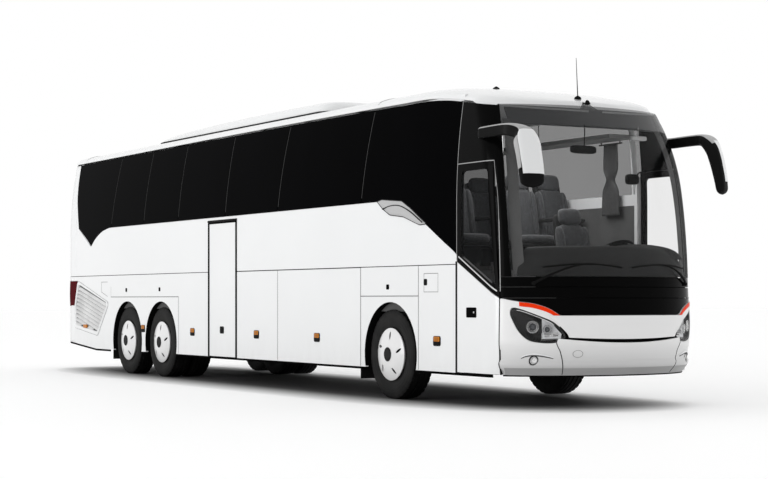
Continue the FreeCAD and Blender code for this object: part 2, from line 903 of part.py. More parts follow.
def cover_slot(x, side, index):
    """One pointed slot of the wheel cover, on a line from its hub."""
    base = side * (tyre_centre_y + tyre_width / 2 - cover_inset - cover_slot_depth)
    angle = 2 * math.pi * (index + 0.5) / cover_slots
    run = cover_slot_end - cover_slot_start
    half = cover_slot_width / 2
    corners = []
    for along, across in ((0.0, 0.0), (0.35, half), (0.75, half), (1.0, 0.0), (0.75, -half), (0.35, -half)):
        r = cover_slot_start + run * along
        corners.append(vec(x + r * math.sin(angle) + across * math.cos(angle), base,
                           tyre_radius + r * math.cos(angle) - across * math.sin(angle)))
    return polygon(corners).extrude(vec(0, side * (cover_dome + overrun), 0))


def rim(x, side, twin=False):
    """Steel rim closed by a domed cover with slots round its hub; twin wheels share one long rim."""
    edge = tyre_width / 2 - cover_inset
    inner = rim_lip - tyre_width / 2 - (twin_spacing if twin else 0)
    seat = tyre_bore_radius - seat_gap
    back = edge - rim_disc_inset
    points = [
        (edge + cover_dome, 0), (edge + cover_dome, hub_cap_radius), (edge + cover_edge, cover_radius),
        (edge, cover_radius), (edge, seat), (inner, seat), (inner, seat - rim_wall), (back, seat - rim_wall),
        (back, hub_radius), (inner + hub_length, hub_radius), (inner + hub_length, 0),
    ]
    wheel = turned(points, x, side * tyre_centre_y, side)
    return wheel.cut(fuse_all([cover_slot(x, side, index) for index in range(cover_slots)]))


beam_back = 470.0
bumper_bracket_y = 300.0
bumper_bracket_width = 80.0
tow_boss_radius = 40.0
tow_socket_depth = 110.0
tow_boss_reach = 170.0
tail_beam_inset = 220.0
mudflap_bar_back = 690.0
cross_height = 60.0


def front_beam_x():
    return nose_x - beam_back


def chassis_frame():
    """Long rails with cross members, bumper brackets and the front towing socket."""
    front = front_beam_x()
    rear = tail_x + tail_beam_inset
    top = rail_base + rail_height
    outer = rail_half_spacing + rail_width / 2
    reach = nose_x + overrun
    pieces = [
        box(front - cross_depth, front, -outer - tow_boss_radius * 4, outer, rail_base - cross_height, top),
        box(rear - cross_depth, rear, -outer, outer, rail_base, top),
    ]
    for side in (-1, 1):
        y0 = side * rail_half_spacing - rail_width / 2
        pieces.append(box(hold_front_x, front, y0, y0 + rail_width, rail_base, top))
        pieces.append(box(rear, hold_rear_x, y0, y0 + rail_width, rail_base, top))
        y0 = side * bumper_bracket_y - bumper_bracket_width / 2
        bracket = box(front, reach, y0, y0 + bumper_bracket_width, rail_base - cross_height, rail_base)
        pieces.append(bracket.common(envelope(lamp_depth, True)))
        back = box(tail_x - overrun, rear, y0, y0 + bumper_bracket_width, rail_base, top)
        pieces.append(back.common(envelope(wall_thickness, True)))
    for x in (front_axle_x + tyre_radius + cross_depth, hold_front_x, hold_rear_x - cross_depth,
              tag_axle_x - tyre_radius - cross_depth, engine_front_x - cross_depth * 2, engine_rear_x + cross_depth):
        pieces.append(box(x, x + cross_depth, -outer, outer, rail_base, rail_base + cross_height))
    bar = tag_axle_x - mudflap_bar_back
    pieces.append(box(bar - cross_height, bar, -tyre_centre_y - overrun, tyre_centre_y + overrun,
                      rail_base, rail_base + cross_height))
    boss = cylinder(tow_boss_radius, tow_boss_reach, vec(front, tow_socket_y, tow_socket_height), vec(1, 0, 0))
    pieces.append(boss)
    frame = fuse_all(pieces)
    bore = cylinder(tow_socket_radius, tow_socket_depth,
                    vec(front + tow_boss_reach - tow_socket_depth, tow_socket_y, tow_socket_height), vec(1, 0, 0))
    return Part.Compound(frame.cut(bore).Solids)


engine_rear_x = tail_x + tail_beam_inset + cross_depth
engine_front_x = engine_rear_x + engine_length


def engine_block():
    base = rail_base + cross_height
    return box(engine_rear_x, engine_front_x, -engine_width / 2, engine_width / 2, base, base + engine_height)


hold_half_width = half_width - panel_thickness - seam_gap
floor_half_width = half_width - wall_thickness
post_size = 50.0


def luggage_hold():
    """Open hold across the coach: tray, two bulkheads and the posts at the flap seams."""
    low = hold_base
    top = floor_top - floor_thickness
    pieces = [
        box(hold_rear_x, hold_front_x, -hold_half_width, hold_half_width, low, low + hold_sheet),
        box(hold_rear_x, hold_rear_x + hold_sheet, -floor_half_width, floor_half_width, low, top),
        box(hold_front_x - hold_sheet, hold_front_x, -floor_half_width, floor_half_width, low, top),
    ]
    posts = ((flap_split_x, -1), (flap_split_x, 1), (flap_right_rear_x, -1), (flap_left_rear_x, 1),
             (middle_rear_x - post_size - seam_gap, -1))
    for x, side in posts:
        pieces.append(box(x, x + post_size, side * (floor_half_width - post_size), side * floor_half_width,
                          low, top))
    return fuse_all(pieces)


cab_depth = 2110.0
cab_floor_height = 1020.0
cab_sheet = 40.0
well_inner_y = 520.0
middle_well_inner_y = 380.0
step_count = 4
cab_back_x = nose_x - cab_depth
well_back_x = door_rear_x - seam_gap


def floor_deck():
    """Passenger floor, the riser behind the driver and the lower cab floor, with both stair wells."""
    bottom = floor_top - floor_thickness
    deck = box(tail_x + wall_thickness + overrun, cab_back_x, -floor_half_width, floor_half_width, bottom, floor_top)
    riser = box(cab_back_x - cab_sheet, cab_back_x, -floor_half_width, floor_half_width, cab_floor_height, floor_top)
    cab = box(cab_back_x - cab_sheet, nose_x, -floor_half_width, floor_half_width,
              cab_floor_height - cab_sheet, cab_floor_height)
    whole = fuse_all([deck, riser, cab]).common(envelope(wall_thickness, True))
    whole = whole.cut(box(well_back_x, door_front_x, -half_width, -well_inner_y, skirt_height, floor_top))
    return whole.cut(box(middle_rear_x, middle_front_x, -half_width, -middle_well_inner_y,
                         skirt_height, floor_top + overrun))


entrance_inset = 90.0
entrance_front_inset = 150.0
tread_share = 0.35
stair_riser = 20.0
entrance_rise = (skirt_height, cab_floor_height, step_count - 1)
middle_rise = (hold_base + hold_sheet, floor_top, step_count)


def first_tread(low, high, count):
    return low + (high - low) / count * tread_share


def stair(x0, x1, inner_y, outer_y, low, high, count):
    """Steps that rise from the doorway towards the middle of the coach."""
    run = (outer_y - inner_y) / count
    rise = (high - low) / count
    points = [(-outer_y, low)]
    for index in range(count):
        tread = low + rise * (index + tread_share)
        points.append((-outer_y + run * index, tread))
        points.append((-outer_y + run * (index + 1), tread))
    points[-1] = (-inner_y - stair_riser, tread)
    points += [(-inner_y - stair_riser, high), (-inner_y, high), (-inner_y, low)]
    return polygon([vec(x0, y, z) for y, z in points]).extrude(vec(x1 - x0, 0, 0))


def entrance_steps():
    """Steps in both doorways, which the door columns stand on."""
    outer = half_width - entrance_inset
    front = stair(well_back_x + seam_gap, door_front_x - entrance_front_inset, well_inner_y + seat_gap, outer,
                  *entrance_rise)
    middle = stair(middle_rear_x + seam_gap, middle_front_x - seam_gap, middle_well_inner_y + seat_gap, outer,
                   *middle_rise)
    return Part.Compound([front, middle])


beam_height = 110.0
beam_drop = 20.0
eye_radius = 45.0
eye_sides = 12
eye_half_height = 80.0
lug_radius = 52.0
lug_thickness = 30.0
lug_clearance = 1.0
pin_clearance = 0.05
spring_pad = 120.0


def hub_inner_y(twin=False):
    inner = tyre_width / 2 - rim_lip
    return tyre_centre_y - inner - (twin_spacing if twin else 0) + hub_length


def spring_seats(x, top):
    seats = []
    for side in (-1, 1):
        y0 = side * rail_half_spacing - spring_pad / 2
        seats.append(box(x - spring_pad / 2, x + spring_pad / 2, y0, y0 + spring_pad, tyre_radius, top))
    return seats


def front_axle():
    """Beam with an upright eye at each end for the kingpin."""
    middle = tyre_radius - beam_drop
    beam = box(front_axle_x - axle_beam_size / 2, front_axle_x + axle_beam_size / 2,
               -kingpin_half_spacing + eye_radius / 2, kingpin_half_spacing - eye_radius / 2,
               middle - beam_height / 2, middle + beam_height / 2)
    pieces = [beam] + spring_seats(front_axle_x, rail_base)
    for side in (-1, 1):
        base = vec(front_axle_x, side * kingpin_half_spacing, tyre_radius - eye_half_height)
        pieces.append(prism(eye_radius, eye_sides, base, 2 * eye_half_height))
    axle = fuse_all(pieces)
    for side in (-1, 1):
        base = vec(front_axle_x, side * kingpin_half_spacing, tyre_radius - eye_half_height - overrun)
        bore = cylinder(kingpin_radius + pin_clearance, 2 * (eye_half_height + overrun), base, vec(0, 0, 1))
        axle = axle.cut(bore)
    return axle


def knuckle(side):
    """Fork over the beam's eye with its kingpin, and a flange that carries the hub."""
    x = front_axle_x
    y = side * kingpin_half_spacing
    reach = eye_half_height + lug_clearance
    plate_inner = side * (kingpin_half_spacing + lug_radius - lug_clearance)
    plate_outer = side * (hub_inner_y() - seat_gap)
    pieces = [cylinder(kingpin_radius, 2 * (reach + lug_thickness),
                       vec(x, y, tyre_radius - reach - lug_thickness), vec(0, 0, 1))]
    for z in (tyre_radius - reach - lug_thickness, tyre_radius + reach):
        pieces.append(box(x - lug_radius, x + lug_radius, y - side * lug_radius, plate_outer, z, z + lug_thickness))
    pieces.append(box(x - lug_radius, x + lug_radius, plate_inner, plate_outer,
                      tyre_radius - reach - lug_thickness, tyre_radius + reach + lug_thickness))
    return fuse_all(pieces)


def axle_tube(x, twin, bowl):
    """Axle tube between the hubs with its spring seats, and a drive axle's bowl."""
    reach = hub_inner_y(twin) - seat_gap
    half = [(reach, 0), (reach, axle_tube_radius)]
    if bowl:
        half += [(axle_bowl_radius, axle_tube_radius), (axle_bowl_radius / 2, axle_bowl_radius)]
    outline = half + [(-a, r) for a, r in reversed(half)]
    return fuse_all([turned(outline, x, 0, 1, tyre_radius, axle_sides)] + spring_seats(x, rail_base))


mudflap_low = 210.0
mudflap_high = 690.0
mudflap_width = 260.0
mudflap_thickness = 12.0


def mudflaps():
    """Rubber flaps behind the front and tag wheels."""
    flaps = []
    for x in (hold_front_x, tag_axle_x - mudflap_bar_back):
        for side in (-1, 1):
            middle = side * tyre_centre_y
            flaps.append(box(x, x + mudflap_thickness, middle - mudflap_width / 2, middle + mudflap_width / 2,
                             mudflap_low, mudflap_high))
    return Part.Compound(flaps)


dash_back = 800.0
dash_depth = 650.0
dash_low_share = 0.55
dash_height = 520.0
dash_right_y = -380.0
column_radius = 45.0
column_length = 420.0
wheel_centre_back = 1010.0
wheel_centre_y = 560.0
wheel_centre_height = 1690.0
wheel_tilt = 32.0
steering_ring_radius = 225.0
steering_grip_radius = 17.0
steering_hub_radius = 60.0
steering_spoke = 36.0
steering_sides = 20


def column_axis():
    tilt = math.radians(wheel_tilt)
    return vec(-math.sin(tilt), 0, math.cos(tilt))


def steering_centre():
    return vec(nose_x - wheel_centre_back, wheel_centre_y, wheel_centre_height)


def dashboard():
    """Dashboard across the cab, with the steering column."""
    rear = nose_x - dash_back
    low = cab_floor_height
    face = polygon([
        vec(rear, dash_right_y, low), vec(rear, dash_right_y, low + dash_height * dash_low_share),
        vec(rear + dash_depth * 0.2, dash_right_y, low + dash_height * 0.95),
        vec(rear + dash_depth * 0.7, dash_right_y, low + dash_height),
        vec(rear + dash_depth, dash_right_y, low + dash_height * 0.7), vec(rear + dash_depth, dash_right_y, low)])
    block = face.extrude(vec(0, half_width - dash_right_y, 0)).common(envelope(wall_thickness, True))
    axis = column_axis()
    top = steering_centre().sub(axis * (steering_spoke + seat_gap))
    column = cylinder(column_radius, column_length, top.sub(axis * column_length), axis)
    return fuse_all([block, column])


def steering_wheel():
    """Ring, hub and three spokes, turned flat and then tilted with the column."""
    grip = steering_grip_radius
    section = [(grip * math.cos(math.pi * k * 0.4), steering_ring_radius + grip * math.sin(math.pi * k * 0.4))
               for k in range(5)]
    hub = [(-steering_spoke, 0), (-steering_spoke, steering_hub_radius), (steering_spoke / 2, steering_hub_radius),
           (steering_spoke / 2, 0)]
    pieces = []
    for outline in (section, hub):
        ring = turned(outline, 0, 0, 1, 0, steering_sides)
        ring.rotate(vec(0, 0, 0), vec(1, 0, 0), 90)
        pieces.append(ring)
    for angle in (0, 120, 240):
        spoke = box(0, steering_ring_radius, -steering_spoke / 2, steering_spoke / 2,
                    -steering_grip_radius / 2, steering_grip_radius / 2)
        spoke.rotate(vec(0, 0, 0), vec(0, 0, 1), angle)
        pieces.append(spoke)
    wheel = fuse_all(pieces)
    wheel.rotate(vec(0, 0, 0), vec(0, 1, 0), -wheel_tilt)
    wheel.translate(steering_centre())
    return wheel


seat_width = 440.0
seat_depth = 460.0
seat_cushion_height = 420.0
seat_cushion_thickness = 110.0
seat_back_height = 1180.0
seat_back_lean = 170.0
seat_back_thickness = 110.0
seat_foot = 90.0
seat_pitch = 830.0
seat_first_back = 2500.0
seat_row_count = 13
seat_window_gap = 60.0
seat_pair_gap = 20.0
driver_seat_back = 1560.0


def seat(x, y, floor_height):
    """One seat: foot, cushion and leaning back, drawn from the side."""
    half = seat_depth / 2
    under = floor_height + seat_cushion_height - seat_cushion_thickness
    over = floor_height + seat_cushion_height
    points = [
        (x - seat_foot, floor_height), (x + seat_foot, floor_height), (x + seat_foot, under), (x + half, under),
        (x + half, over), (x - half + seat_back_thickness, over),
        (x - half + seat_back_thickness - seat_back_lean, floor_height + seat_back_height),
        (x - half - seat_back_lean, floor_height + seat_back_height), (x - half, under), (x - seat_foot, under),
    ]
    face = polygon([vec(px, y - seat_width / 2, pz) for px, pz in points])
    return face.extrude(vec(0, seat_width, 0))


def seats():
    """Pairs of seats on both sides of the aisle, and the driver's seat."""
    rows = [seat(nose_x - driver_seat_back, wheel_centre_y, cab_floor_height)]
    outer = floor_half_width - seat_window_gap - seat_width / 2
    for index in range(seat_row_count):
        x = nose_x - seat_first_back - seat_pitch * index
        by_door = middle_rear_x - seat_depth < x < middle_front_x + seat_depth + seat_back_lean
        for side in (-1, 1):
            if side < 0 and by_door:
                continue
            rows.append(seat(x, side * outer, floor_top))
            rows.append(seat(x, side * (outer - seat_width - seat_pair_gap), floor_top))
    return Part.Compound(rows)


rack_height = 3020.0
rack_thickness = 45.0
rack_width = 400.0


def luggage_racks():
    racks = []
    for side in (-1, 1):
        outer = side * half_width
        inner = side * (floor_half_width - rack_width)
        rack = box(rear_seam_x, front_seam_x, inner, outer, rack_height, rack_height + rack_thickness)
        racks.append(rack.common(envelope(wall_thickness, True)))
    return Part.Compound(racks)


wiper_stand = 14.0
wiper_depth = 18.0
wiper_park_height = 1500.0
wiper_pivot_height = 1330.0
wiper_pivot_radius = 22.0
wiper_bends = 6
wiper_spans = ((-930.0, -80.0, -1010.0), (60.0, 920.0, 960.0))


def nose_point(y, z, out):
    """A point off the nose's surface, at a place across and a height."""
    share = z / roof_height
    low = max(index for index in range(len(level_shares) - 1) if level_shares[index] <= share)
    part = (share - level_shares[low]) / (level_shares[low + 1] - level_shares[low])
    back = nose_back_shares[low] + (nose_back_shares[low + 1] - nose_back_shares[low]) * part
    depth = nose_depth_shares[low] + (nose_depth_shares[low + 1] - nose_depth_shares[low]) * part
    run = math.sqrt(1 - (y / (half_width_at(z) + out)) ** 2)
    return vec(nose_x - nose_rake * back - nose_depth * depth * (1 - run) + out * run, y, z)


def wiper(low_y, high_y, pivot_y):
    """A parked blade just off the glass, and its arm from a pivot in the front panel."""
    stand = wiper_stand + wiper_depth / 2
    half = wiper_depth / 2
    middle_y = (low_y + high_y) / 2
    blade = []
    arm = []
    for index in range(wiper_bends + 1):
        share = index / wiper_bends
        blade.append(nose_point(low_y + (high_y - low_y) * share, wiper_park_height, stand))
        z = wiper_pivot_height + (wiper_park_height - wiper_pivot_height) * share
        p = nose_point(pivot_y + (middle_y - pivot_y) * share, z, stand)
        arm.append([p.add(vec(dx, 0, dz)) for dx, dz in ((-half, -half), (half, -half), (half, half), (-half, half))])
    reach = wiper_pivot_radius
    pivot = nose_point(pivot_y, wiper_pivot_height, stand)
    stub = box(pivot.x - nose_depth, pivot.x, pivot.y - reach, pivot.y + reach, pivot.z - reach, pivot.z + reach)
    return fuse_all([flat_arm(blade, wiper_depth), ringed_solid(arm)] + stub.cut(envelope(0.0)).Solids)


def wipers():
    return Part.Compound([wiper(*span) for span in wiper_spans])


mirror_root_back = 1000.0
mirror_head_low = 2290.0
mirror_head_high = 2965.0
mirror_elbow_y = 1295.0
mirror_head_y = 1255.0
mirror_half_width = 112.0
mirror_half_depth = 70.0
mirror_sides = 8
mirror_bend_share = 0.7
mirror_shares = (
    (0.0, -0.055, 0.5, 0.86), (0.12, -0.045, 0.36, 0.86), (0.37, -0.015, 0.31, 0.86), (0.70, 0.0, 0.31, 0.86),
    (0.87, -0.045, 0.54, 0.89), (0.96, -0.155, 0.80, 0.97), (0.995, -0.36, 0.98, 1.0), (1.0, -0.69, 1.0, 0.97),
    (0.985, -1.0, 0.90, 0.79))


def mirror(side):
    """Arm that curves out from the roof pillar and down into its tall head, widening on the way."""
    root_x = nose_x - mirror_root_back
    head_x = nose_x + mirror_reach - mirror_half_depth
    centres = []
    for run, drop, _, _ in mirror_shares:
        bow = min(1.0, max(0.0, (run - mirror_bend_share) / (1 - mirror_bend_share)))
        y = mirror_elbow_y + (mirror_head_y - mirror_elbow_y) * bow
        if run == 0:
            y = half_width_at(mirror_head_high) - wall_thickness
        centres.append(vec(root_x + (head_x - root_x) * run, side * y,
                           mirror_head_high + (mirror_head_high - mirror_head_low) * drop))
    rings = []
    for index, centre in enumerate(centres):
        along = centres[min(index + 1, len(centres) - 1)].sub(centres[max(index - 1, 0)]).normalize()
        across = vec(0, 1, 0).sub(along * along.y).normalize()
        lift = along.cross(across)
        wide = mirror_half_width * mirror_shares[index][2]
        deep = mirror_half_depth * mirror_shares[index][3]
        ring = []
        for k in range(mirror_sides):
            angle = 2 * math.pi * (k + 0.5) / mirror_sides
            ring.append(centre.add(across * (wide * math.cos(angle))).add(lift * (deep * math.sin(angle))))
        rings.append(ring)
    return ringed_solid(rings).cut(envelope(0.0))


def mirrors():
    return Part.Compound([mirror(-1), mirror(1)])


unit_rear_x = -3900.0
unit_front_x = 1945.0
unit_height = 3740.0
unit_half_width = 950.0
unit_base_height = 3570.0
unit_edge = 170.0
unit_shares = ((0.0, 0.09), (0.05, 0.38), (0.11, 0.58), (0.30, 0.85), (0.6, 1.0), (0.857, 0.77), (0.953, 0.56),
               (1.0, 0.18))


def roof_unit():
    """Long low climate unit on the roof: its arched side view, sloped along both edges."""
    low = roof_height - 4 * crown_drop
    rise = unit_height - unit_base_height
    contour = [(unit_rear_x, low)]
    contour += [(unit_rear_x + (unit_front_x - unit_rear_x) * run, unit_base_height + rise * up)
                for run, up in unit_shares]
    contour.append((unit_front_x, low))
    top = unit_half_width - unit_edge
    section = polygon([vec(unit_rear_x, y, z) for y, z in (
        (-unit_half_width, low), (unit_half_width, low), (unit_half_width, unit_base_height + rise / 3),
        (top, unit_height + seat_gap), (-top, unit_height + seat_gap),
        (-unit_half_width, unit_base_height + rise / 3))])
    block = section.extrude(vec(unit_front_x - unit_rear_x, 0, 0))
    return block.common(side_prism(contour, 1, -half_width)).cut(envelope(0.0))


nodes = {
    "chassis_frame": chassis_frame,
    "luggage_hold": luggage_hold,
    "floor_deck": floor_deck,
    "entrance_steps": entrance_steps,
    "engine_block": engine_block,
    "side_wall_right": lambda: side_wall(-1),
    "side_wall_left": lambda: side_wall(1),
    "lower_side_right": lambda: lower_side(-1),
    "lower_side_left": lambda: lower_side(1),
    "side_grilles": side_grilles,
    "side_glass": side_glass,
    "roof_shell": roof_shell,
    "roof_unit": roof_unit,
    "front_frame": front_frame,
    "windscreen": windscreen,
    "cab_panel_left": lambda: door_leaf(1),
    "driver_window": lambda: door_pane(1),
    "front_bumper": front_bumper,
    "nose_panel": nose_panel,
    "headlamps": headlamps,
    "rear_wall": rear_wall,
    "rear_window": rear_window,
    "engine_lid": engine_lid,
    "tail_lamps": tail_lamps,
    "mirrors": mirrors,
    "wipers": wipers,
    "dashboard": dashboard,
    "steering_wheel": steering_wheel,
    "seats": seats,
    "luggage_racks": luggage_racks,
    "mudflaps": mudflaps,
    "front_axle": front_axle,
    "drive_axle": lambda: axle_tube(drive_axle_x, True, True),
    "tag_axle": lambda: axle_tube(tag_axle_x, False, False),
    "front_door": front_door,
    "front_door_glass": lambda: door_pane(-1),
    "front_door_arm": lambda: door_arm(door_rear_x, first_tread(*entrance_rise) + seat_gap),
    "middle_door": middle_door,
    "middle_door_arm": lambda: door_arm(middle_rear_x, first_tread(*middle_rise) + seat_gap),
}
for flap_name in flap_spans:
    nodes[flap_name] = lambda name=flap_name: luggage_flap(name)
for side, word in ((-1, "right"), (1, "left")):
    nodes["knuckle_" + word] = lambda side=side: knuckle(side)
    for place, x, twin in (("front", front_axle_x, False), ("drive", drive_axle_x, True), ("tag", tag_axle_x, False)):
        nodes[f"tyre_{place}_{word}"] = lambda x=x, side=side, twin=twin: tyre(x, side, twin)
        nodes[f"rim_{place}_{word}"] = lambda x=x, side=side, twin=twin: rim(x, side, twin)

os.makedirs("parts", exist_ok=True)
for name, make in nodes.items():
    make().exportStep(f"parts/{name}.step")
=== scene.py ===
import math

import bmesh
import bpy
import numpy as np
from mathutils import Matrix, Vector


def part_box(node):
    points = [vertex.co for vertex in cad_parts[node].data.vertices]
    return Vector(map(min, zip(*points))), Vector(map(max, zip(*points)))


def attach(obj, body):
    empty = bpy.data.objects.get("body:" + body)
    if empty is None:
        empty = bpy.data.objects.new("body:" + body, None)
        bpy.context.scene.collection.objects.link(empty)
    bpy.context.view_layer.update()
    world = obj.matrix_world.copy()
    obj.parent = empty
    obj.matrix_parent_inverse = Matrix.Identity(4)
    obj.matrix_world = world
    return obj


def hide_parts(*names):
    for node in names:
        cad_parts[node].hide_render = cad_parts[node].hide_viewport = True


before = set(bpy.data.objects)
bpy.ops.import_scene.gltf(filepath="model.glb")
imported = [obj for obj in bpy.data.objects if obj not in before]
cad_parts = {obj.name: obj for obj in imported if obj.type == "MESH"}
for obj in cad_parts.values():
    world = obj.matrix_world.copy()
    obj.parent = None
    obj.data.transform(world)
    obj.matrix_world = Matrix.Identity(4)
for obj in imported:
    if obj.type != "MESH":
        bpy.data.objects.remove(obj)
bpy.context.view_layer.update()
print("frame loaded")

# Lengths are in metres, +X to the nose, +Y to the left, +Z up, and angles on the nose in degrees from its middle.


class Wire:
    # a node's output; sums and products of wires add Math nodes
    def __init__(self, finish, socket):
        self.finish, self.socket = finish, socket

    def math(self, operation, a, b):
        return self.finish.node("ShaderNodeMath", {"operation": operation}, {0: a, 1: b})

    def __add__(self, other):
        return self.math("ADD", self, other)

    def __radd__(self, other):
        return self.math("ADD", other, self)

    def __sub__(self, other):
        return self.math("SUBTRACT", self, other)

    def __rsub__(self, other):
        return self.math("SUBTRACT", other, self)

    def __mul__(self, other):
        return self.math("MULTIPLY", self, other)

    def __rmul__(self, other):
        return self.math("MULTIPLY", other, self)

    def __truediv__(self, other):
        return self.math("DIVIDE", self, other)

    def __pow__(self, other):
        return self.math("POWER", self, other)


class Finish:
    # one material with its node sheet
    def __init__(self, name):
        self.material = bpy.data.materials.new(name)
        self.material.use_nodes = True
        self.tree = self.material.node_tree
        self.shader = self.tree.nodes["Principled BSDF"]
        self.place = self.node("ShaderNodeTexCoord", {}, {}, "Object")

    def node(self, kind, settings, inputs, output=0):
        made = self.tree.nodes.new(kind)
        for key, value in settings.items():
            if key == "stops":
                ramp = made.color_ramp.elements
                for stop, (place, shade) in zip(ramp, value):
                    stop.position, stop.color = place, shade
            else:
                setattr(made, key, value)
        for key, value in inputs.items():
            if isinstance(value, Wire):
                self.tree.links.new(value.socket, made.inputs[key])
            else:
                made.inputs[key].default_value = value
        return Wire(self, made.outputs[output])

    def shift(self, scale):
        return self.node("ShaderNodeMapping", {}, {"Vector": self.place, "Scale": scale})

    def noise(self, scale, detail=3.0, stretch=None):
        where = self.shift(stretch) if stretch else self.place
        return self.node("ShaderNodeTexNoise", {}, {"Vector": where, "Scale": scale, "Detail": detail})

    def cells(self, scale, output="Distance"):
        return self.node("ShaderNodeTexVoronoi", {}, {"Vector": self.place, "Scale": scale}, output)

    def axis(self, letter):
        return self.node("ShaderNodeSeparateXYZ", {}, {0: self.place}, letter)

    def ramp(self, factor, low, high, first=0.0, last=1.0):
        stops = [(low, (first, first, first, 1)), (high, (last, last, last, 1))]
        return self.node("ShaderNodeValToRGB", {"stops": stops}, {0: factor})

    def blend(self, factor, a, b):
        inputs = {0: factor, 6: a, 7: b}
        return self.node("ShaderNodeMix", {"data_type": "RGBA"}, inputs, 2)

    def bump(self, height, strength, distance=0.002):
        return self.node("ShaderNodeBump", {}, {"Height": height, "Strength": strength, "Distance": distance})

    def set(self, **values):
        for key, value in values.items():
            socket = self.shader.inputs[key.replace("_", " ")]
            if isinstance(value, Wire):
                self.tree.links.new(value.socket, socket)
            else:
                socket.default_value = value
        return self


def shade(value, tint=(1.0, 1.0, 1.0)):
    return (value * tint[0], value * tint[1], value * tint[2], 1.0)


def scaled(colour, factor):
    # a lighter or darker version of a colour
    return tuple(min(1.0, c * factor) for c in colour[:3]) + (1.0,)


def paintFinish(name, clean, worn, roughness, grime=0.0, coat=0.7, specular=0.5, index=1.5):
    # coachwork paint: faint cloudiness, orange peel under a clear coat, a little dust near the sill
    f = Finish(name)
    cloud = f.noise(0.7, 2.0)
    base = f.blend(f.ramp(cloud, 0.35, 0.7), clean, worn)
    if grime:
        low = 1.0 - f.ramp(f.axis("Z"), 0.32, 0.75)
        dust = low * f.ramp(f.noise(9.0, 5.0, (1.0, 1.0, 0.35)), 0.4, 0.75) * grime
        base = f.blend(dust, base, shade(0.42, (1.0, 0.97, 0.92)))
    f.set(Base_Color=base, Roughness=f.noise(3.0) * 0.08 + roughness, Coat_Weight=coat, Coat_Roughness=0.06,
          Specular_IOR_Level=specular, IOR=index, Normal=f.bump(f.noise(140.0, 1.0), 0.02, 0.001))
    return f


def paintedShadeBumperFinish(name, high, low):
    # bumper paint with painted shade: its colour darkens towards the lower lip, where shade falls under the bumper
    f = Finish(name)
    f.set(Base_Color=f.blend(f.ramp(f.axis("Z"), 0.40, 0.74), low, high), Roughness=f.noise(3.0) * 0.08 + 0.3,
          Coat_Weight=0.5, Coat_Roughness=0.08, Normal=f.bump(f.noise(140.0, 1.0), 0.02, 0.001))
    return f


def plasticFinish(name, colour, roughness, grain=420.0, strength=0.12, specular=0.3):
    # grained plastic: a cloudy tone over fine cells
    f = Finish(name)
    tone = f.blend(f.ramp(f.noise(2.5), 0.3, 0.8), colour, scaled(colour, 1.35))
    f.set(Base_Color=tone, Roughness=f.noise(14.0) * 0.12 + roughness, Specular_IOR_Level=specular,
          IOR=1.5 if specular > 0.2 else 1.2,
          Normal=f.bump(f.cells(grain), strength, 0.0006))
    return f


def glassFinish(name, colour, alpha, specular=0.5, haze=0.02, index=1.5):
    # tinted glass under a faint film
    f = Finish(name)
    film = f.ramp(f.noise(1.1, 4.0, (1.0, 1.0, 0.4)), 0.35, 0.8)
    f.set(Base_Color=f.blend(film, colour, scaled(colour, 1.6)),
          Roughness=film * 0.03 + 0.02, Alpha=film * haze + alpha, Specular_IOR_Level=specular, IOR=index)
    return f


def metalFinish(name, colour, roughness, metallic=1.0, scale=30.0):
    # metal with fine streaks in tone and roughness
    f = Finish(name)
    streak = f.noise(scale, 4.0)
    f.set(Base_Color=f.blend(streak, colour, scaled(colour, 0.82)), Metallic=metallic,
          Roughness=streak * 0.12 + roughness, Normal=f.bump(streak, 0.05, 0.001))
    return f


def rubberFinish(name, tone, dust):
    # matt rubber with dusty patches
    f = Finish(name)
    worn = f.ramp(f.noise(5.0, 6.0), 0.4, 0.75)
    f.set(Base_Color=f.blend(worn * dust, shade(tone), shade(0.05, (1.0, 0.97, 0.93))),
          Roughness=worn * 0.12 + 0.62, Specular_IOR_Level=0.3, IOR=1.3,
          Normal=f.bump(f.noise(260.0, 2.0), 0.2, 0.0008))
    return f


def ironFinish(name, tone):
    # cast and painted underbody parts with scattered road dirt
    f = Finish(name)
    dirt = f.ramp(f.noise(7.0, 6.0), 0.45, 0.7)
    f.set(Base_Color=f.blend(dirt, shade(tone), shade(0.14, (1.0, 0.92, 0.82))), Metallic=0.3,
          Roughness=dirt * 0.3 + 0.5, Normal=f.bump(f.noise(70.0, 5.0), 0.3, 0.003))
    return f


def clothFinish(name, ground, thread):
    # woven cloth: crossed waves with a fleck
    f = Finish(name)
    warp = f.node("ShaderNodeTexWave", {"bands_direction": "Y"},
                  {"Vector": f.place, "Scale": 90.0, "Distortion": 1.0})
    weft = f.node("ShaderNodeTexWave", {"bands_direction": "Z"},
                  {"Vector": f.place, "Scale": 90.0, "Distortion": 1.0})
    weave = warp * weft
    fleck = f.ramp(f.noise(55.0, 3.0), 0.52, 0.62)
    f.set(Base_Color=f.blend(fleck * 0.6, ground, thread), Roughness=weave * 0.1 + 0.82,
          Normal=f.bump(weave, 0.35, 0.0015), Sheen_Weight=0.25)
    return f


def vinylFinish(name, tone):
    # speckled floor vinyl
    f = Finish(name)
    speck = f.ramp(f.cells(160.0), 0.05, 0.25)
    f.set(Base_Color=f.blend(speck, shade(tone * 1.7), shade(tone)), Roughness=f.noise(6.0) * 0.15 + 0.5,
          Normal=f.bump(speck, 0.1, 0.001))
    return f


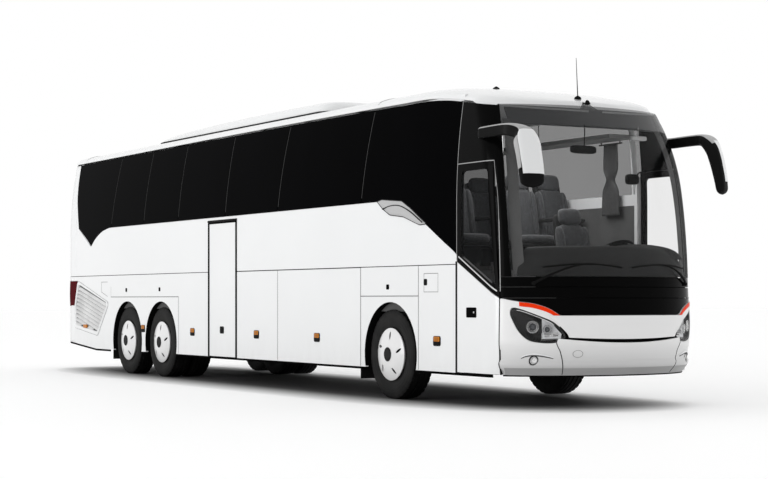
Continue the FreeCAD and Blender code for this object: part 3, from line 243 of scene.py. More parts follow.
def lensFinish(name, colour, ribs, coat=0.4, index=1.5):
    # moulded lamp lens with fine square prisms
    f = Finish(name)
    across = f.node("ShaderNodeTexWave", {"bands_direction": "Y"}, {"Vector": f.place, "Scale": ribs})
    upward = f.node("ShaderNodeTexWave", {"bands_direction": "Z"}, {"Vector": f.place, "Scale": ribs})
    prism = across * upward
    f.set(Base_Color=f.blend(prism, colour, scaled(colour, 2.0)),
          Roughness=prism * 0.08 + 0.07, Coat_Weight=coat, Specular_IOR_Level=0.3, IOR=index,
          Normal=f.bump(prism, 0.35, 0.002))
    return f


finishes = {
    "white": paintFinish("whitePaint", shade(0.80, (0.985, 0.995, 1.0)), shade(0.78, (0.985, 0.995, 1.0)), 0.26,
                         grime=0.10),
    # the bumper's paint carries painted shade, darker towards its lower lip
    "bumper": paintedShadeBumperFinish("bumperPaintWithPaintedShade", shade(0.80), shade(0.50)),
    "rimWhite": paintFinish("rimWhitePaint", shade(0.80), shade(0.72), 0.32),
    "black": paintFinish("blackGloss", shade(0.0015), shade(0.0025), 0.10, coat=0.0, index=1.09),
    "stripe": paintFinish("orangeStripe", (0.86, 0.040, 0.003, 1), (0.80, 0.034, 0.003, 1), 0.35, coat=0.0,
                          specular=0.3, index=1.2),
    # a grey sheet laid over the lower bumper as painted shade
    "film": paintFinish("lowerBumperPaintedShade", shade(0.36), shade(0.26), 0.5, coat=0.1),
    "dash": paintFinish("dashPlastic", shade(0.020), shade(0.028), 0.6, coat=0.0, specular=0.3, index=1.2),
    "bandGlass": glassFinish("tintedGlass", (0.0005, 0.0005, 0.0007, 1), 0.997, haze=0.006, index=1.035),
    "sideGlass": glassFinish("sideGlass", (0.0012, 0.0012, 0.0014, 1), 0.50, index=1.06),
    "doorGlass": glassFinish("doorGlass", (0.003, 0.0033, 0.0036, 1), 0.55, index=1.10),
    "clearGlass": glassFinish("clearGlass", (0.02, 0.022, 0.022, 1), 0.13, specular=1.0),
    "shadeGlass": glassFinish("shadeBand", (0.02, 0.021, 0.022, 1), 0.66, haze=0.05),
    "cabGlass": glassFinish("cabGlass", (0.02, 0.022, 0.022, 1), 0.06, specular=0.4),
    "lampGlass": glassFinish("lampCover", (0.05, 0.05, 0.052, 1), 0.08, specular=1.0),
    "projector": glassFinish("projectorLens", (0.05, 0.055, 0.06, 1), 1.0, specular=0.7, haze=0.0),
    "screenDark": glassFinish("screenFace", (0.004, 0.004, 0.005, 1), 1.0, haze=0.0),
    "chrome": metalFinish("reflectorMetal", shade(0.86), 0.06, metallic=1.0, scale=8.0),
    "silver": metalFinish("silverTrim", shade(0.60), 0.34, metallic=0.75, scale=160.0),
    "silverPaint": metalFinish("silverPaint", shade(0.50), 0.40, metallic=0.2, scale=60.0),
    "edgeGrey": metalFinish("edgeTrim", shade(0.33), 0.4, metallic=0.5, scale=90.0),
    "rubberTrim": rubberFinish("rubberSeal", 0.012, 0.3),
    "tyre": rubberFinish("tyreRubber", 0.0055, 0.3),
    "tread": rubberFinish("treadRubber", 0.0035, 0.2),
    "blackPlastic": plasticFinish("blackPlastic", shade(0.006), 0.42, specular=0.12),
    "linerBlack": plasticFinish("archLiner", shade(0.004), 0.9, grain=200.0, strength=0.05, specular=0.03),
    "lampBlack": plasticFinish("lampHousing", shade(0.010), 0.25, grain=300.0, strength=0.03),
    "hubGrey": plasticFinish("hubDisc", shade(0.020), 0.45, grain=200.0, strength=0.03, specular=0.15),
    "seamDark": plasticFinish("seamShadow", shade(0.003), 0.9, grain=200.0, strength=0.0, specular=0.03),
    "seamMid": plasticFinish("seamMid", shade(0.03), 0.8, grain=200.0, strength=0.0, specular=0.05),
    "seamGrey": plasticFinish("seamGrey", shade(0.16), 0.7, grain=200.0, strength=0.0),
    "paneLine": plasticFinish("paneLine", shade(0.045), 0.5, grain=300.0, strength=0.03, specular=0.2),
    "lining": plasticFinish("wallLining", shade(0.09), 0.8, grain=500.0, strength=0.05, specular=0.1),
    "trimGrey": plasticFinish("cabTrim", shade(0.30), 0.6, grain=260.0),
    "armGrey": plasticFinish("armCover", shade(0.34), 0.35, grain=300.0, strength=0.03),
    "slat": plasticFinish("slatPaint", shade(0.62), 0.4, grain=200.0, strength=0.02),
    "steel": ironFinish("underbodyPaint", 0.03),
    "iron": ironFinish("castIron", 0.05),
    "cloth": clothFinish("seatCloth", shade(0.024, (0.95, 0.98, 1.05)), shade(0.085, (0.9, 0.95, 1.05))),
    "curtain": clothFinish("curtainCloth", shade(0.10), shade(0.15)),
    "floor": vinylFinish("floorVinyl", 0.12),
    "red": lensFinish("redLens", (0.055, 0.001, 0.003, 1), 26.0, coat=0.0, index=1.05),
    "amber": lensFinish("amberLens", (0.36, 0.12, 0.008, 1), 60.0, coat=0.1, index=1.2),
    "lampInsert": lensFinish("lampInsert", (0.60, 0.61, 0.63, 1), 55.0),
}
print("finishes made")


def gridPart(points, closeU=False, closeV=False, away=None):
    # quads over a (u, v) grid of points, turned to face away from a point, or outwards where it is closed
    nu, nv = points.shape[:2]
    i = np.arange(nu if closeU else nu - 1)[:, None]
    j = np.arange(nv if closeV else nv - 1)[None, :]
    i2, j2 = (i + 1) % nu, (j + 1) % nv
    quads = np.stack([i * nv + j, i2 * nv + j, i2 * nv + j2, i * nv + j2], -1).reshape(-1, 4)
    verts = points.reshape(-1, 3).astype(float)
    corner = verts[quads]
    normal = np.cross(corner[:, 2] - corner[:, 0], corner[:, 3] - corner[:, 1])
    middle = corner.mean(1)
    origin = middle.mean(0) if away is None else np.asarray(away, float)
    if np.sum(normal * (middle - origin)) < 0:
        quads = quads[:, ::-1]
    return verts, quads


def cleaned(mesh, reach):
    # merges doubles and drops faces without area
    work = bmesh.new()
    work.from_mesh(mesh)
    bmesh.ops.remove_doubles(work, verts=work.verts, dist=reach)
    bmesh.ops.dissolve_degenerate(work, edges=work.edges, dist=reach / 2)
    work.to_mesh(mesh)
    work.free()


def shadeSmooth(mesh, sharp):
    # smooth faces with sharp edges above an angle
    mesh.polygons.foreach_set("use_smooth", np.ones(len(mesh.polygons), bool))
    mesh.set_sharp_from_angle(angle=math.radians(sharp))


def makePiece(name, parts, body, finish, sharp=32.0, merge=0.00002):
    # joins parts into one mesh, merges doubles and marks its sharp edges
    verts, faces, count = [], [], 0
    for partVerts, partFaces in parts:
        verts.append(partVerts)
        faces.append(partFaces + count)
        count += len(partVerts)
    mesh = bpy.data.meshes.new(name)
    mesh.from_pydata(np.concatenate(verts), [], np.concatenate(faces))
    cleaned(mesh, merge)
    shadeSmooth(mesh, sharp)
    piece = bpy.data.objects.new(name, mesh)
    bpy.context.scene.collection.objects.link(piece)
    for one in (finish if isinstance(finish, (list, tuple)) else [finish]):
        mesh.materials.append(finishes[one].material)
    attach(piece, body)
    return piece


def roundRim(piece, edge, segments=2, angle=50.0):
    # a small round on the sharp edges, with even shading beside it
    rounding = piece.modifiers.new("rounding", "BEVEL")
    rounding.width, rounding.segments = edge, segments
    rounding.limit_method, rounding.angle_limit = "ANGLE", math.radians(angle)
    piece.modifiers.new("even", "WEIGHTED_NORMAL").keep_sharp = True


def thicken(piece, depth, edge=0.003, segments=2):
    # wall thickness inwards, then a small round on its rim
    wall = piece.modifiers.new("wall", "SOLIDIFY")
    wall.thickness, wall.offset, wall.use_even_offset = depth, -1.0, False
    if edge:
        roundRim(piece, edge, segments)
    return piece


def cutOut(piece, cutters):
    # takes closed parts out of a piece and keeps the result as its mesh
    tool = bpy.data.objects.new("cutter", bpy.data.meshes.new("cutter"))
    verts = np.concatenate([c[0] for c in cutters])
    starts = np.cumsum([0] + [len(c[0]) for c in cutters[:-1]])
    faces = np.concatenate([c[1] + s for c, s in zip(cutters, starts)])
    tool.data.from_pydata(verts, [], faces)
    cleaned(tool.data, 0.00001)
    bpy.context.scene.collection.objects.link(tool)
    cut = piece.modifiers.new("cut", "BOOLEAN")
    cut.operation, cut.solver, cut.object = "DIFFERENCE", "EXACT", tool
    bpy.context.view_layer.update()
    seen = piece.evaluated_get(bpy.context.evaluated_depsgraph_get())
    mesh = bpy.data.meshes.new_from_object(seen)
    piece.modifiers.clear()
    old, piece.data = piece.data, mesh
    bpy.data.meshes.remove(old)
    bpy.data.objects.remove(tool)
    return piece


def span(a, b, n):
    return np.linspace(a, b, n)


def fullTurn(n):
    # angles of n even steps round a circle
    return span(0, 2 * math.pi, n + 1)[:-1]


def looped(line):
    # a closed line's points with the first one again at its end
    return np.concatenate([line, line[:1]])


def spots(x, y, z):
    # points from three arrays that broadcast together
    return np.stack(np.broadcast_arrays(x, y, z), -1)


def easeEnds(n):
    # 0 to 1 with closer steps at both ends
    return (1 - np.cos(np.pi * np.linspace(0, 1, n))) / 2


def lerp(a, b, t):
    return a + (b - a) * t


def smoothStep(t):
    t = np.clip(t, 0, 1)
    return t * t * (3 - 2 * t)


def smoothTable(q, places, values):
    # cubic curve through the rows of a table
    places, values = np.asarray(places, float), np.asarray(values, float)
    slopes = np.gradient(values, places)
    i = np.clip(np.searchsorted(places, q) - 1, 0, len(places) - 2)
    h = places[i + 1] - places[i]
    t = np.clip((q - places[i]) / h, 0, 1)
    return ((2 * t**3 - 3 * t**2 + 1) * values[i] + (t**3 - 2 * t**2 + t) * h * slopes[i]
            + (3 * t**2 - 2 * t**3) * values[i + 1] + (t**3 - t**2) * h * slopes[i + 1])


def closedCurve(points, n):
    # a smooth closed line through given points, cubic between them
    p = np.asarray(points, float)
    k = len(p)
    t = np.linspace(0, k, n, endpoint=False)
    i = t.astype(int)
    f = (t - i)[:, None]
    a, b, c, d = p[(i - 1) % k], p[i % k], p[(i + 1) % k], p[(i + 2) % k]
    return b + 0.5 * f * (c - a + f * (2 * a - 5 * b + 4 * c - d + f * (3 * (b - c) + d - a)))


def roundedLoop(corners, radius, n):
    # closed outline through corners with round corners; the same count of points between each pair
    p = np.asarray(corners, float)
    k = len(p)
    out = []
    for i in range(k):
        before, here, after = p[i - 1], p[i], p[(i + 1) % k]
        reach = min(radius, np.linalg.norm(before - here) / 2.2, np.linalg.norm(after - here) / 2.2)
        start = here + (before - here) / np.linalg.norm(before - here) * reach
        end = here + (after - here) / np.linalg.norm(after - here) * reach
        t = np.linspace(0, 1, n // 2)[:, None]
        out.append((1 - t)**2 * start + 2 * t * (1 - t) * here + t**2 * end)
        following = p[(i + 2) % k]
        nextReach = min(radius, np.linalg.norm(here - after) / 2.2, np.linalg.norm(following - after) / 2.2)
        goal = after + (here - after) / np.linalg.norm(here - after) * nextReach
        t = np.linspace(0, 1, n - n // 2 + 2)[1:-1, None]
        out.append(end + (goal - end) * t)
    return np.concatenate(out)


# The body's outer form, with the same level tables as the construction.
levels = 3.6 * np.array([0.05, 0.14, 0.25, 0.353, 0.483, 0.611, 0.722, 0.806, 0.881, 0.947, 1.02])
shape = {
    "noseX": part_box("nose_panel")[1].x,
    "tailX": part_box("rear_wall")[0].x,
    "half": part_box("side_wall_left")[1].y,
    "sill": 0.36,
    "rake": 1.0,
    "rakeShares": (0.12, 0.03, 0.0, 0.017, 0.065, 0.148, 0.265, 0.405, 0.578, 0.745, 0.98),
    "depth": 0.75,
    "depthShares": (1.0, 1.0, 1.0, 0.99, 0.95, 0.90, 0.83, 0.77, 0.71, 0.67, 0.64),
    "tailRake": 0.16,
    "tailShares": (0.15, 0.0, 0.0, 0.0, 0.04, 0.09, 0.13, 0.18, 0.28, 0.45, 1.0),
    "tailCorner": 0.25,
    "leanStart": 2.2,
    "leanRadius": 7.32,
    "seam": 0.007,
    "doorRearX": 5.5133,
    "doorFront": ((0.3, 1.18, 1.79, 2.32, 2.6, 3.3), (6.30, 6.318, 6.295, 6.244, 6.18, 5.985)),
    "tailSill": (-5.567, 1.45, 0.11),
    "rearSeamX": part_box("side_wall_left")[0].x,
}
middleOfCoach = (0.0, 0.0, 1.8)
sides = ((-1, "Right"), (1, "Left"))


def halfWidth(z):
    # half the width at a height: upright, then leaning in along a large radius
    rise = np.maximum(0, np.asarray(z, float) - shape["leanStart"])
    return shape["half"] - shape["leanRadius"] + np.sqrt(shape["leanRadius"]**2 - rise**2)


def frontX(z):
    # the nose's foremost place at a height
    return shape["noseX"] - shape["rake"] * smoothTable(z, levels, shape["rakeShares"])


def frontDepth(z):
    # the depth of the nose's half ellipse at a height
    return shape["depth"] * smoothTable(z, levels, shape["depthShares"])


def backX(z):
    # the tail's rearmost place at a height
    return shape["tailX"] + shape["tailRake"] * smoothTable(z, levels, shape["tailShares"])


def tailSill(x):
    # the tail's lower edge: level, then rising to the rear
    start, run, rise = shape["tailSill"]
    return shape["sill"] + rise * np.clip((start - x) / run, 0, 1)


def noseSkin(angle, z, out=0.0):
    # a point of the nose: a half ellipse in plan at each height, at an angle from its middle
    a = np.radians(angle)
    depth = frontDepth(z)
    x = frontX(z) - depth + (depth + out) * np.cos(a)
    y = (halfWidth(z) + out) * np.sin(a)
    return spots(x, y, z)


def sideSkin(x, z, side, out=0.0):
    # a point of one side: straight, then the nose's ellipse in front and a round corner at the tail
    depth = frontDepth(z)
    start = frontX(z) - depth
    run = np.clip((x - start) / (depth + out), 0, 1)
    half = halfWidth(z) + out
    ahead = half * np.sqrt(1 - run**2)
    corner = shape["tailCorner"]
    back = np.clip((backX(z) + corner - x) / corner, 0, 1)
    y = np.where(back > 0, half - corner + corner * np.sqrt(1 - back**2), ahead)
    return spots(x, side * y, z)


def skinOf(side):
    # one side's skin as a function of (x, z)
    return lambda x, z, out=0.0: sideSkin(x, z, side, out)


def tailSkin(t, z, out=0.0):
    # a point of the tail: t from -1 at the right side seam, round both corners, to 1 at the left
    corner = shape["tailCorner"]
    flat = halfWidth(z) - corner
    straight = shape["rearSeamX"] - backX(z) - corner
    arc = corner * math.pi / 2
    total = flat + arc + straight
    s = np.abs(t) * total
    turn = np.clip((s - flat) / corner, 0, math.pi / 2)
    y = np.minimum(s, flat) + (corner + out) * np.sin(turn)
    x = backX(z) + corner - (corner + out) * np.cos(turn) + np.maximum(0, s - flat - arc)
    return spots(x, np.sign(t) * y, z)


def fourEdges(skin, left, right, low, high, nu, nv, out=0.0, away=middleOfCoach):
    # a patch of a skin (p, q): p runs from left(q) to right(q) and q from low(p) to high(p)
    u = span(0, 1, nu)[:, None]
    v = span(0, 1, nv)[None, :]
    asEdge = [e if callable(e) else (lambda other, e=e: e + 0 * other) for e in (left, right, low, high)]
    q = 0.5 * (asEdge[2](0 * u) + asEdge[3](0 * u)) + 0 * v
    p = lerp(asEdge[0](q), asEdge[1](q), u)
    for _ in range(6):
        q = lerp(asEdge[2](p), asEdge[3](p), v)
        p = lerp(asEdge[0](q), asEdge[1](q), u)
    bulge = out(p, q) if callable(out) else out
    return gridPart(skin(p, q, bulge), away=away)


def discOn(skin, outline, rings, depth, away=middleOfCoach, reach=1.0):
    # a filled outline on a skin: rings shrink to its middle, and depth(share) sets each ring off the skin
    c = outline.mean(0)
    share = np.linspace(reach, 0, rings)[:, None]
    pq = c + share[..., None] * (outline[None] - c)
    return gridPart(skin(pq[..., 0], pq[..., 1], depth(share) + 0 * pq[..., 0]), closeV=True, away=away)


def wallOn(skin, outline, top, bottom, away, steps=2):
    # the wall of a closed outline between two distances from a skin
    depth = span(top, bottom, steps)[:, None]
    return gridPart(skin(outline[None, :, 0] + 0 * depth, outline[None, :, 1] + 0 * depth,
                         depth + 0 * outline[None, :, 0]), closeV=True, away=away)


def ringOn(skin, outer, inner, steps, depth, away=middleOfCoach):
    # the stretch between two matching closed outlines on a skin
    t = span(0, 1, steps)[:, None, None]
    pq = lerp(outer[None], inner[None], t)
    return gridPart(skin(pq[..., 0], pq[..., 1], depth(t[..., 0]) + 0 * pq[..., 0]), closeV=True, away=away)


def ribbonOn(skin, line, width, proud, steps=24):
    # flat strips of one width along the runs of a line on a skin, lifted a little off it
    strips = []
    for a, b in zip(np.asarray(line[:-1], float), np.asarray(line[1:], float)):
        along = (b - a) / np.linalg.norm(b - a)
        across = np.array([-along[1], along[0]]) * width / 2
        run = lerp(a - along * width / 2, b + along * width / 2, span(0, 1, steps)[:, None])
        pq = np.stack([run - across, run + across], 1)
        strips.append(gridPart(skin(pq[..., 0], pq[..., 1], proud), away=middleOfCoach))
    return strips


def plugOn(skin, outline, top, bottom):
    # a closed plug through a skin, for cutting
    c = outline.mean(0)
    rows = [(0.0, top), (1.0, top), (1.0, bottom), (0.0, bottom)]
    pq = np.stack([c + k * (outline - c) for k, _ in rows])
    deep = np.array([d for _, d in rows])[:, None] + 0 * pq[..., 0]
    return gridPart(skin(pq[..., 0], pq[..., 1], deep), closeV=True)


def tubePart(path, radius, sides=16, up=(0, 0, 1), stretch=(1.0, 1.0), capped=True):
    # a round section carried along a path, its radius given per point
    path = np.asarray(path, float)
    radius = np.broadcast_to(np.asarray(radius, float), len(path))
    along = np.gradient(path, axis=0)
    along /= np.linalg.norm(along, axis=1, keepdims=True)
    across = np.cross(along, np.asarray(up, float))
    across /= np.linalg.norm(across, axis=1, keepdims=True)
    lift = np.cross(across, along)
    if capped:
        path = np.concatenate([path[:1], path, path[-1:]])
        radius = np.concatenate([[0.0], radius, [0.0]])
        across = np.concatenate([across[:1], across, across[-1:]])
        lift = np.concatenate([lift[:1], lift, lift[-1:]])
    angle = fullTurn(sides)
    ring = (np.cos(angle)[None, :, None] * across[:, None] * stretch[0]
            + np.sin(angle)[None, :, None] * lift[:, None] * stretch[1])
    return gridPart(path[:, None] + ring * radius[:, None, None], closeV=True)


def turnedPart(profile, centre, sides, side=1, closed=True, away=None):
    # a profile of (along the axle, radius) turned about the axle
    p = np.asarray(profile, float)
    angle = fullTurn(sides)[None]
    x = centre[0] + p[:, 1:2] * np.sin(angle)
    z = centre[2] + p[:, 1:2] * np.cos(angle)
    y = centre[1] + side * p[:, :1] + 0 * angle
    return gridPart(np.stack([x, y, z], -1), closeU=closed, closeV=True, away=away)


def slabPart(low, high, power=8.0, nu=25, nv=13):
    # a soft-cornered block: a sphere whose cosines and sines are raised to a small power
    low, high = np.asarray(low, float), np.asarray(high, float)
    centre, reach = (low + high) / 2, (high - low) / 2
    a = span(-math.pi, math.pi, nu)[:-1][:, None]
    b = span(-math.pi / 2, math.pi / 2, nv)[None, :]

    def swell(t):
        return np.sign(t) * np.abs(t)**(2 / power)

    p = np.stack([swell(np.cos(a)) * swell(np.cos(b)), swell(np.sin(a)) * swell(np.cos(b)),
                  swell(np.sin(b)) + 0 * a], -1)
    return gridPart(centre + reach * p, closeU=True)


def dress(finish, *nodeNames):
    # gives a construction node its finish
    for name in nodeNames:
        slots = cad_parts[name].data.materials
        slots.clear()
        slots.append(finishes[finish].material)


# Outlines on the nose, as (angle, height), taken from the photo's lines.
def doorEdgeX(z):
    # the seam between the entrance door and the front pillar
    return smoothTable(z, *shape["doorFront"])


def doorEdgeAngle(z):
    # the same seam as an angle on the nose
    depth = frontDepth(z)
    return np.degrees(np.arccos(np.clip((doorEdgeX(z) - frontX(z) + depth) / depth, -1, 1)))


front = {
    "lipHeight": 3.268,
    "glassLow": 1.40,
    "glassAngle": ((1.3, 1.7, 2.2, 2.75, 3.3), (67.5, 68.8, 68.4, 66.4, 61.0)),
    "bandLow": 3.035,
    "whiteTop": ((0, 30, 37, 43.5, 52, 62, 70, 80), (0.995, 0.993, 0.99, 1.061, 1.113, 1.136, 1.155, 1.185)),
    "panelEnd": ((0.74, 0.785, 0.85, 0.915, 0.95, 0.99), (32.6, 33.4, 36.2, 39.6, 41.8, 44.0)),
    "panelLow": 0.765,
    "panelHigh": 0.993,
    "seamAngle": ((0.30, 0.44, 0.61, 0.72, 0.78, 0.9, 1.0), (35.2, 35.2, 37.4, 39.6, 38.0, 38.0, 38.5)),
    "lowerLine": 0.492,
    "seamHeights": (1.292, 1.176),
    "lamp": ((69.2, 1.01), (67.8, 1.071), (62.0, 1.064), (49.4, 0.988), (40.8, 0.915), (34.6, 0.785), (36.0, 0.737),
             (41.5, 0.704), (49.2, 0.706), (56.6, 0.735), (62.7, 0.82), (66.8, 0.924)),
    "wall": 0.03,
    "fog": (52.4, 0.522),
    "fogRadius": 0.053,
    "degree": 0.018,
    "stripeEnds": (62.2, 38.0),
    "paintedShadeTop": 0.440,
    "towRing": ((-27.9, 0.590), (2.65, 0.037)),
    "bowls": ((54.4, 0.872, 0.066), (45.5, 0.845, 0.062)),
    "lampStrips": 5,
    "stripAngles": (36.8, 49.0),
    "stripHeights": (0.735, 0.80),
    "insert": ((48.6, 0.955), (43.0, 0.915), (37.2, 0.80), (37.6, 0.752), (48.2, 0.748)),
    "fogRings": ((0.040, -0.002), (0.034, -0.008), (0.024, -0.026), (0.0, -0.030)),
    "brow": (60.5, 41.0, 0.553),
}


def glassAngle(z):
    # where the windscreen's glass ends, as an angle
    return smoothTable(z, *front["glassAngle"])


def whiteTop(angle):
    # the height at which the white bumper meets the black front
    return smoothTable(np.abs(angle), *front["whiteTop"])


def seamAngle(z):
    # the seam between the bumper's middle and its corner
    return smoothTable(z, *front["seamAngle"])


def buildWindscreen():
    # flush glass with a darker band at its top, in a glossy black surround with its two seams
    gap = shape["seam"]
    rows = front["bandLow"]
    clear = fourEdges(noseSkin, lambda z: -glassAngle(z), glassAngle, front["glassLow"], rows, 49, 25)
    piece = makePiece("windscreenGlass", [clear], "coach", "clearGlass")
    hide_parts("windscreen")
    band = fourEdges(noseSkin, lambda z: -glassAngle(z), glassAngle, rows, front["lipHeight"] - gap, 49, 9)
    makePiece("windscreenShade", [band], "coach", "shadeGlass")
    parts = []
    for side in (-1, 1):
        edge = (lambda z, s=side: s * glassAngle(z),
                lambda z, s=side: s * (doorEdgeAngle(z) - np.where(z > 2.645, 0.12, 0.5)))
        parts.append(fourEdges(noseSkin, *edge, front["glassLow"], front["lipHeight"] - gap, 9, 31,
                               lambda p, q: 0.006 * np.sin(np.pi * np.clip((np.abs(p) - 66) / 11, 0, 1))))
    low, *seams = [None, *sorted(front["seamHeights"])]
    heights = [low, *seams, front["glassLow"]]
    for k in range(3):
        bottom = (lambda a: whiteTop(a) + gap) if k == 0 else heights[k] + gap / 2
        parts.append(fourEdges(noseSkin, lambda z: -doorEdgeAngle(z) + 0.5, lambda z: doorEdgeAngle(z) - 0.5,
                               bottom, heights[k + 1] - gap / 2, 61, 7))
    surround = makePiece("screenSurround", parts, "coach", "black")
    thicken(surround, front["wall"], 0.002)
    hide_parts("front_frame")


def bumperRelief(angle, z):
    # a lit step above the lower lip, the lip turned under, and a shelf level with the lamps
    lip = 0.018 * smoothStep((front["lowerLine"] + 0.035 - z) / 0.04)
    shelf = 0.010 * smoothStep((z - 0.60) / 0.10)
    under = -0.055 * smoothStep((0.475 - z) / 0.13)
    return lip + shelf + under


def panelLow(angle):
    # lower edge of the nose panel: a shallow cosine dip
    return front["panelLow"] - 0.022 * np.cos(np.radians(angle * 2.4))


def buildBumper():
    # two corners with lamp holes, a middle with a lip, the panel between the lamps and the orange stripes
    wall = front["wall"]
    lampLine = closedCurve(front["lamp"], 72)
    turn = fullTurn(32)
    fogAngle, fogHeight = front["fog"]
    fogLine = lambda s, r: np.stack([s * fogAngle + r / front["degree"] * np.cos(turn),
                                     fogHeight + r * np.sin(turn)], -1)
    for side, word in sides:
        corner = fourEdges(noseSkin, lambda z: side * (doorEdgeAngle(z) - 0.5),
                           lambda z: side * (seamAngle(z) + 0.25),
                           shape["sill"], lambda a: whiteTop(a), 57, 61, bumperRelief)
        piece = makePiece("bumperCorner" + word, [corner], "coach", "bumper")
        solid = piece.modifiers.new("wall", "SOLIDIFY")
        solid.thickness, solid.offset = wall, -1.0
        holes = (lampLine * np.array([side, 1.0]), fogLine(side, front["fogRadius"]))
        cutOut(piece, [plugOn(noseSkin, hole, 0.08, -0.12) for hole in holes])
        shadeSmooth(piece.data, 32.0)
        roundRim(piece, 0.003, angle=45.0)
        if side < 0:
            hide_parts("front_bumper")
        start, end = front["stripeEnds"]
        line = fourEdges(noseSkin, side * start, side * end,
                         lambda a: whiteTop(a) - 0.046 + 0.02 * smoothStep((42 - np.abs(a)) / 5),
                         lambda a: whiteTop(a) - 0.0015, 31, 5, lambda p, q: bumperRelief(p, q) + 0.0022)
        thicken(makePiece("noseStripe" + word, [line], "coach", "stripe"), 0.002, 0)
        seam = span(0.37, 0.70, 30)
        strip = np.stack([side * seamAngle(seam), seam], -1)
        makePiece("bumperSeam" + word, [tubePart(noseSkin(strip[:, 0], strip[:, 1], bumperRelief(0, seam) - 0.001),
                                                 0.0045, 6)], "coach", "seamDark")
    middle = fourEdges(noseSkin, lambda z: -seamAngle(z) + 0.25, lambda z: seamAngle(z) - 0.25, shape["sill"],
                       lambda a: panelLow(a) - 0.013 - 0.026 * np.cos(np.radians(a * 2.2)), 61, 41, bumperRelief)
    thicken(makePiece("bumperMiddle", [middle], "coach", "bumper"), wall)
    for side, word in sides:
        strip = fourEdges(noseSkin, lambda z: side * (doorEdgeAngle(z) - 0.02),
                          lambda z: side * (doorEdgeAngle(z) - 0.82),
                          0.372, lambda a: whiteTop(a) + 0.01, 3, 30, lambda p, q: bumperRelief(p, q) + 0.0025)
        makePiece("doorSeam" + word, [strip], "coach", "seamDark")
    # a grey sheet over the bumper's lower part: painted shade under the lip
    lip = fourEdges(noseSkin, -72.0, 72.0, shape["sill"] + 0.001, front["paintedShadeTop"], 121, 8,
                    lambda p, q: bumperRelief(p, q) + 0.0012)
    makePiece("bumperShadeSheet", [lip], "coach", "film")
    edge = span(-74, 74, 90)
    makePiece("bumperEdge", [tubePart(noseSkin(edge, 0.357, bumperRelief(0, 0.36) - 0.004), 0.009, 8)], "coach",
              "seamDark")
    behind = fourEdges(noseSkin, -42.0, 42.0, 0.66, 0.80, 41, 4, -0.028)
    thicken(makePiece("bumperGap", [behind], "coach", "seamDark"), 0.01, 0)
    end = lambda z: smoothTable(z, *front["panelEnd"])
    crease = lambda p, q: 0.009 * smoothStep((np.abs(p) / 36)**2 * 1.4 + (q - 0.93) / 0.12)
    panel = fourEdges(noseSkin, lambda z: -end(z), end, panelLow, front["panelHigh"], 81, 31,
                      lambda p, q: 0.013 + crease(p, q) + 0.008 * np.sin(np.pi * np.clip((q - 0.75) / 0.25, 0, 1)))
    panel = makePiece("nosePanel", [panel], "coach", "bumper")
    thicken(panel, 0.03, 0.005, 3)
    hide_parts("nose_panel")
    buildLamps(lampLine, fogLine)
    turn = fullTurn(40)
    ring = np.stack([middle + reach * wave(turn)
                     for middle, reach, wave in zip(*front["towRing"], (np.cos, np.sin))], -1)
    closed = looped(ring)
    makePiece("towRing", [tubePart(noseSkin(closed[:, 0], closed[:, 1], 0.0005), 0.0025, 6, capped=False)], "coach",
              "seamGrey")


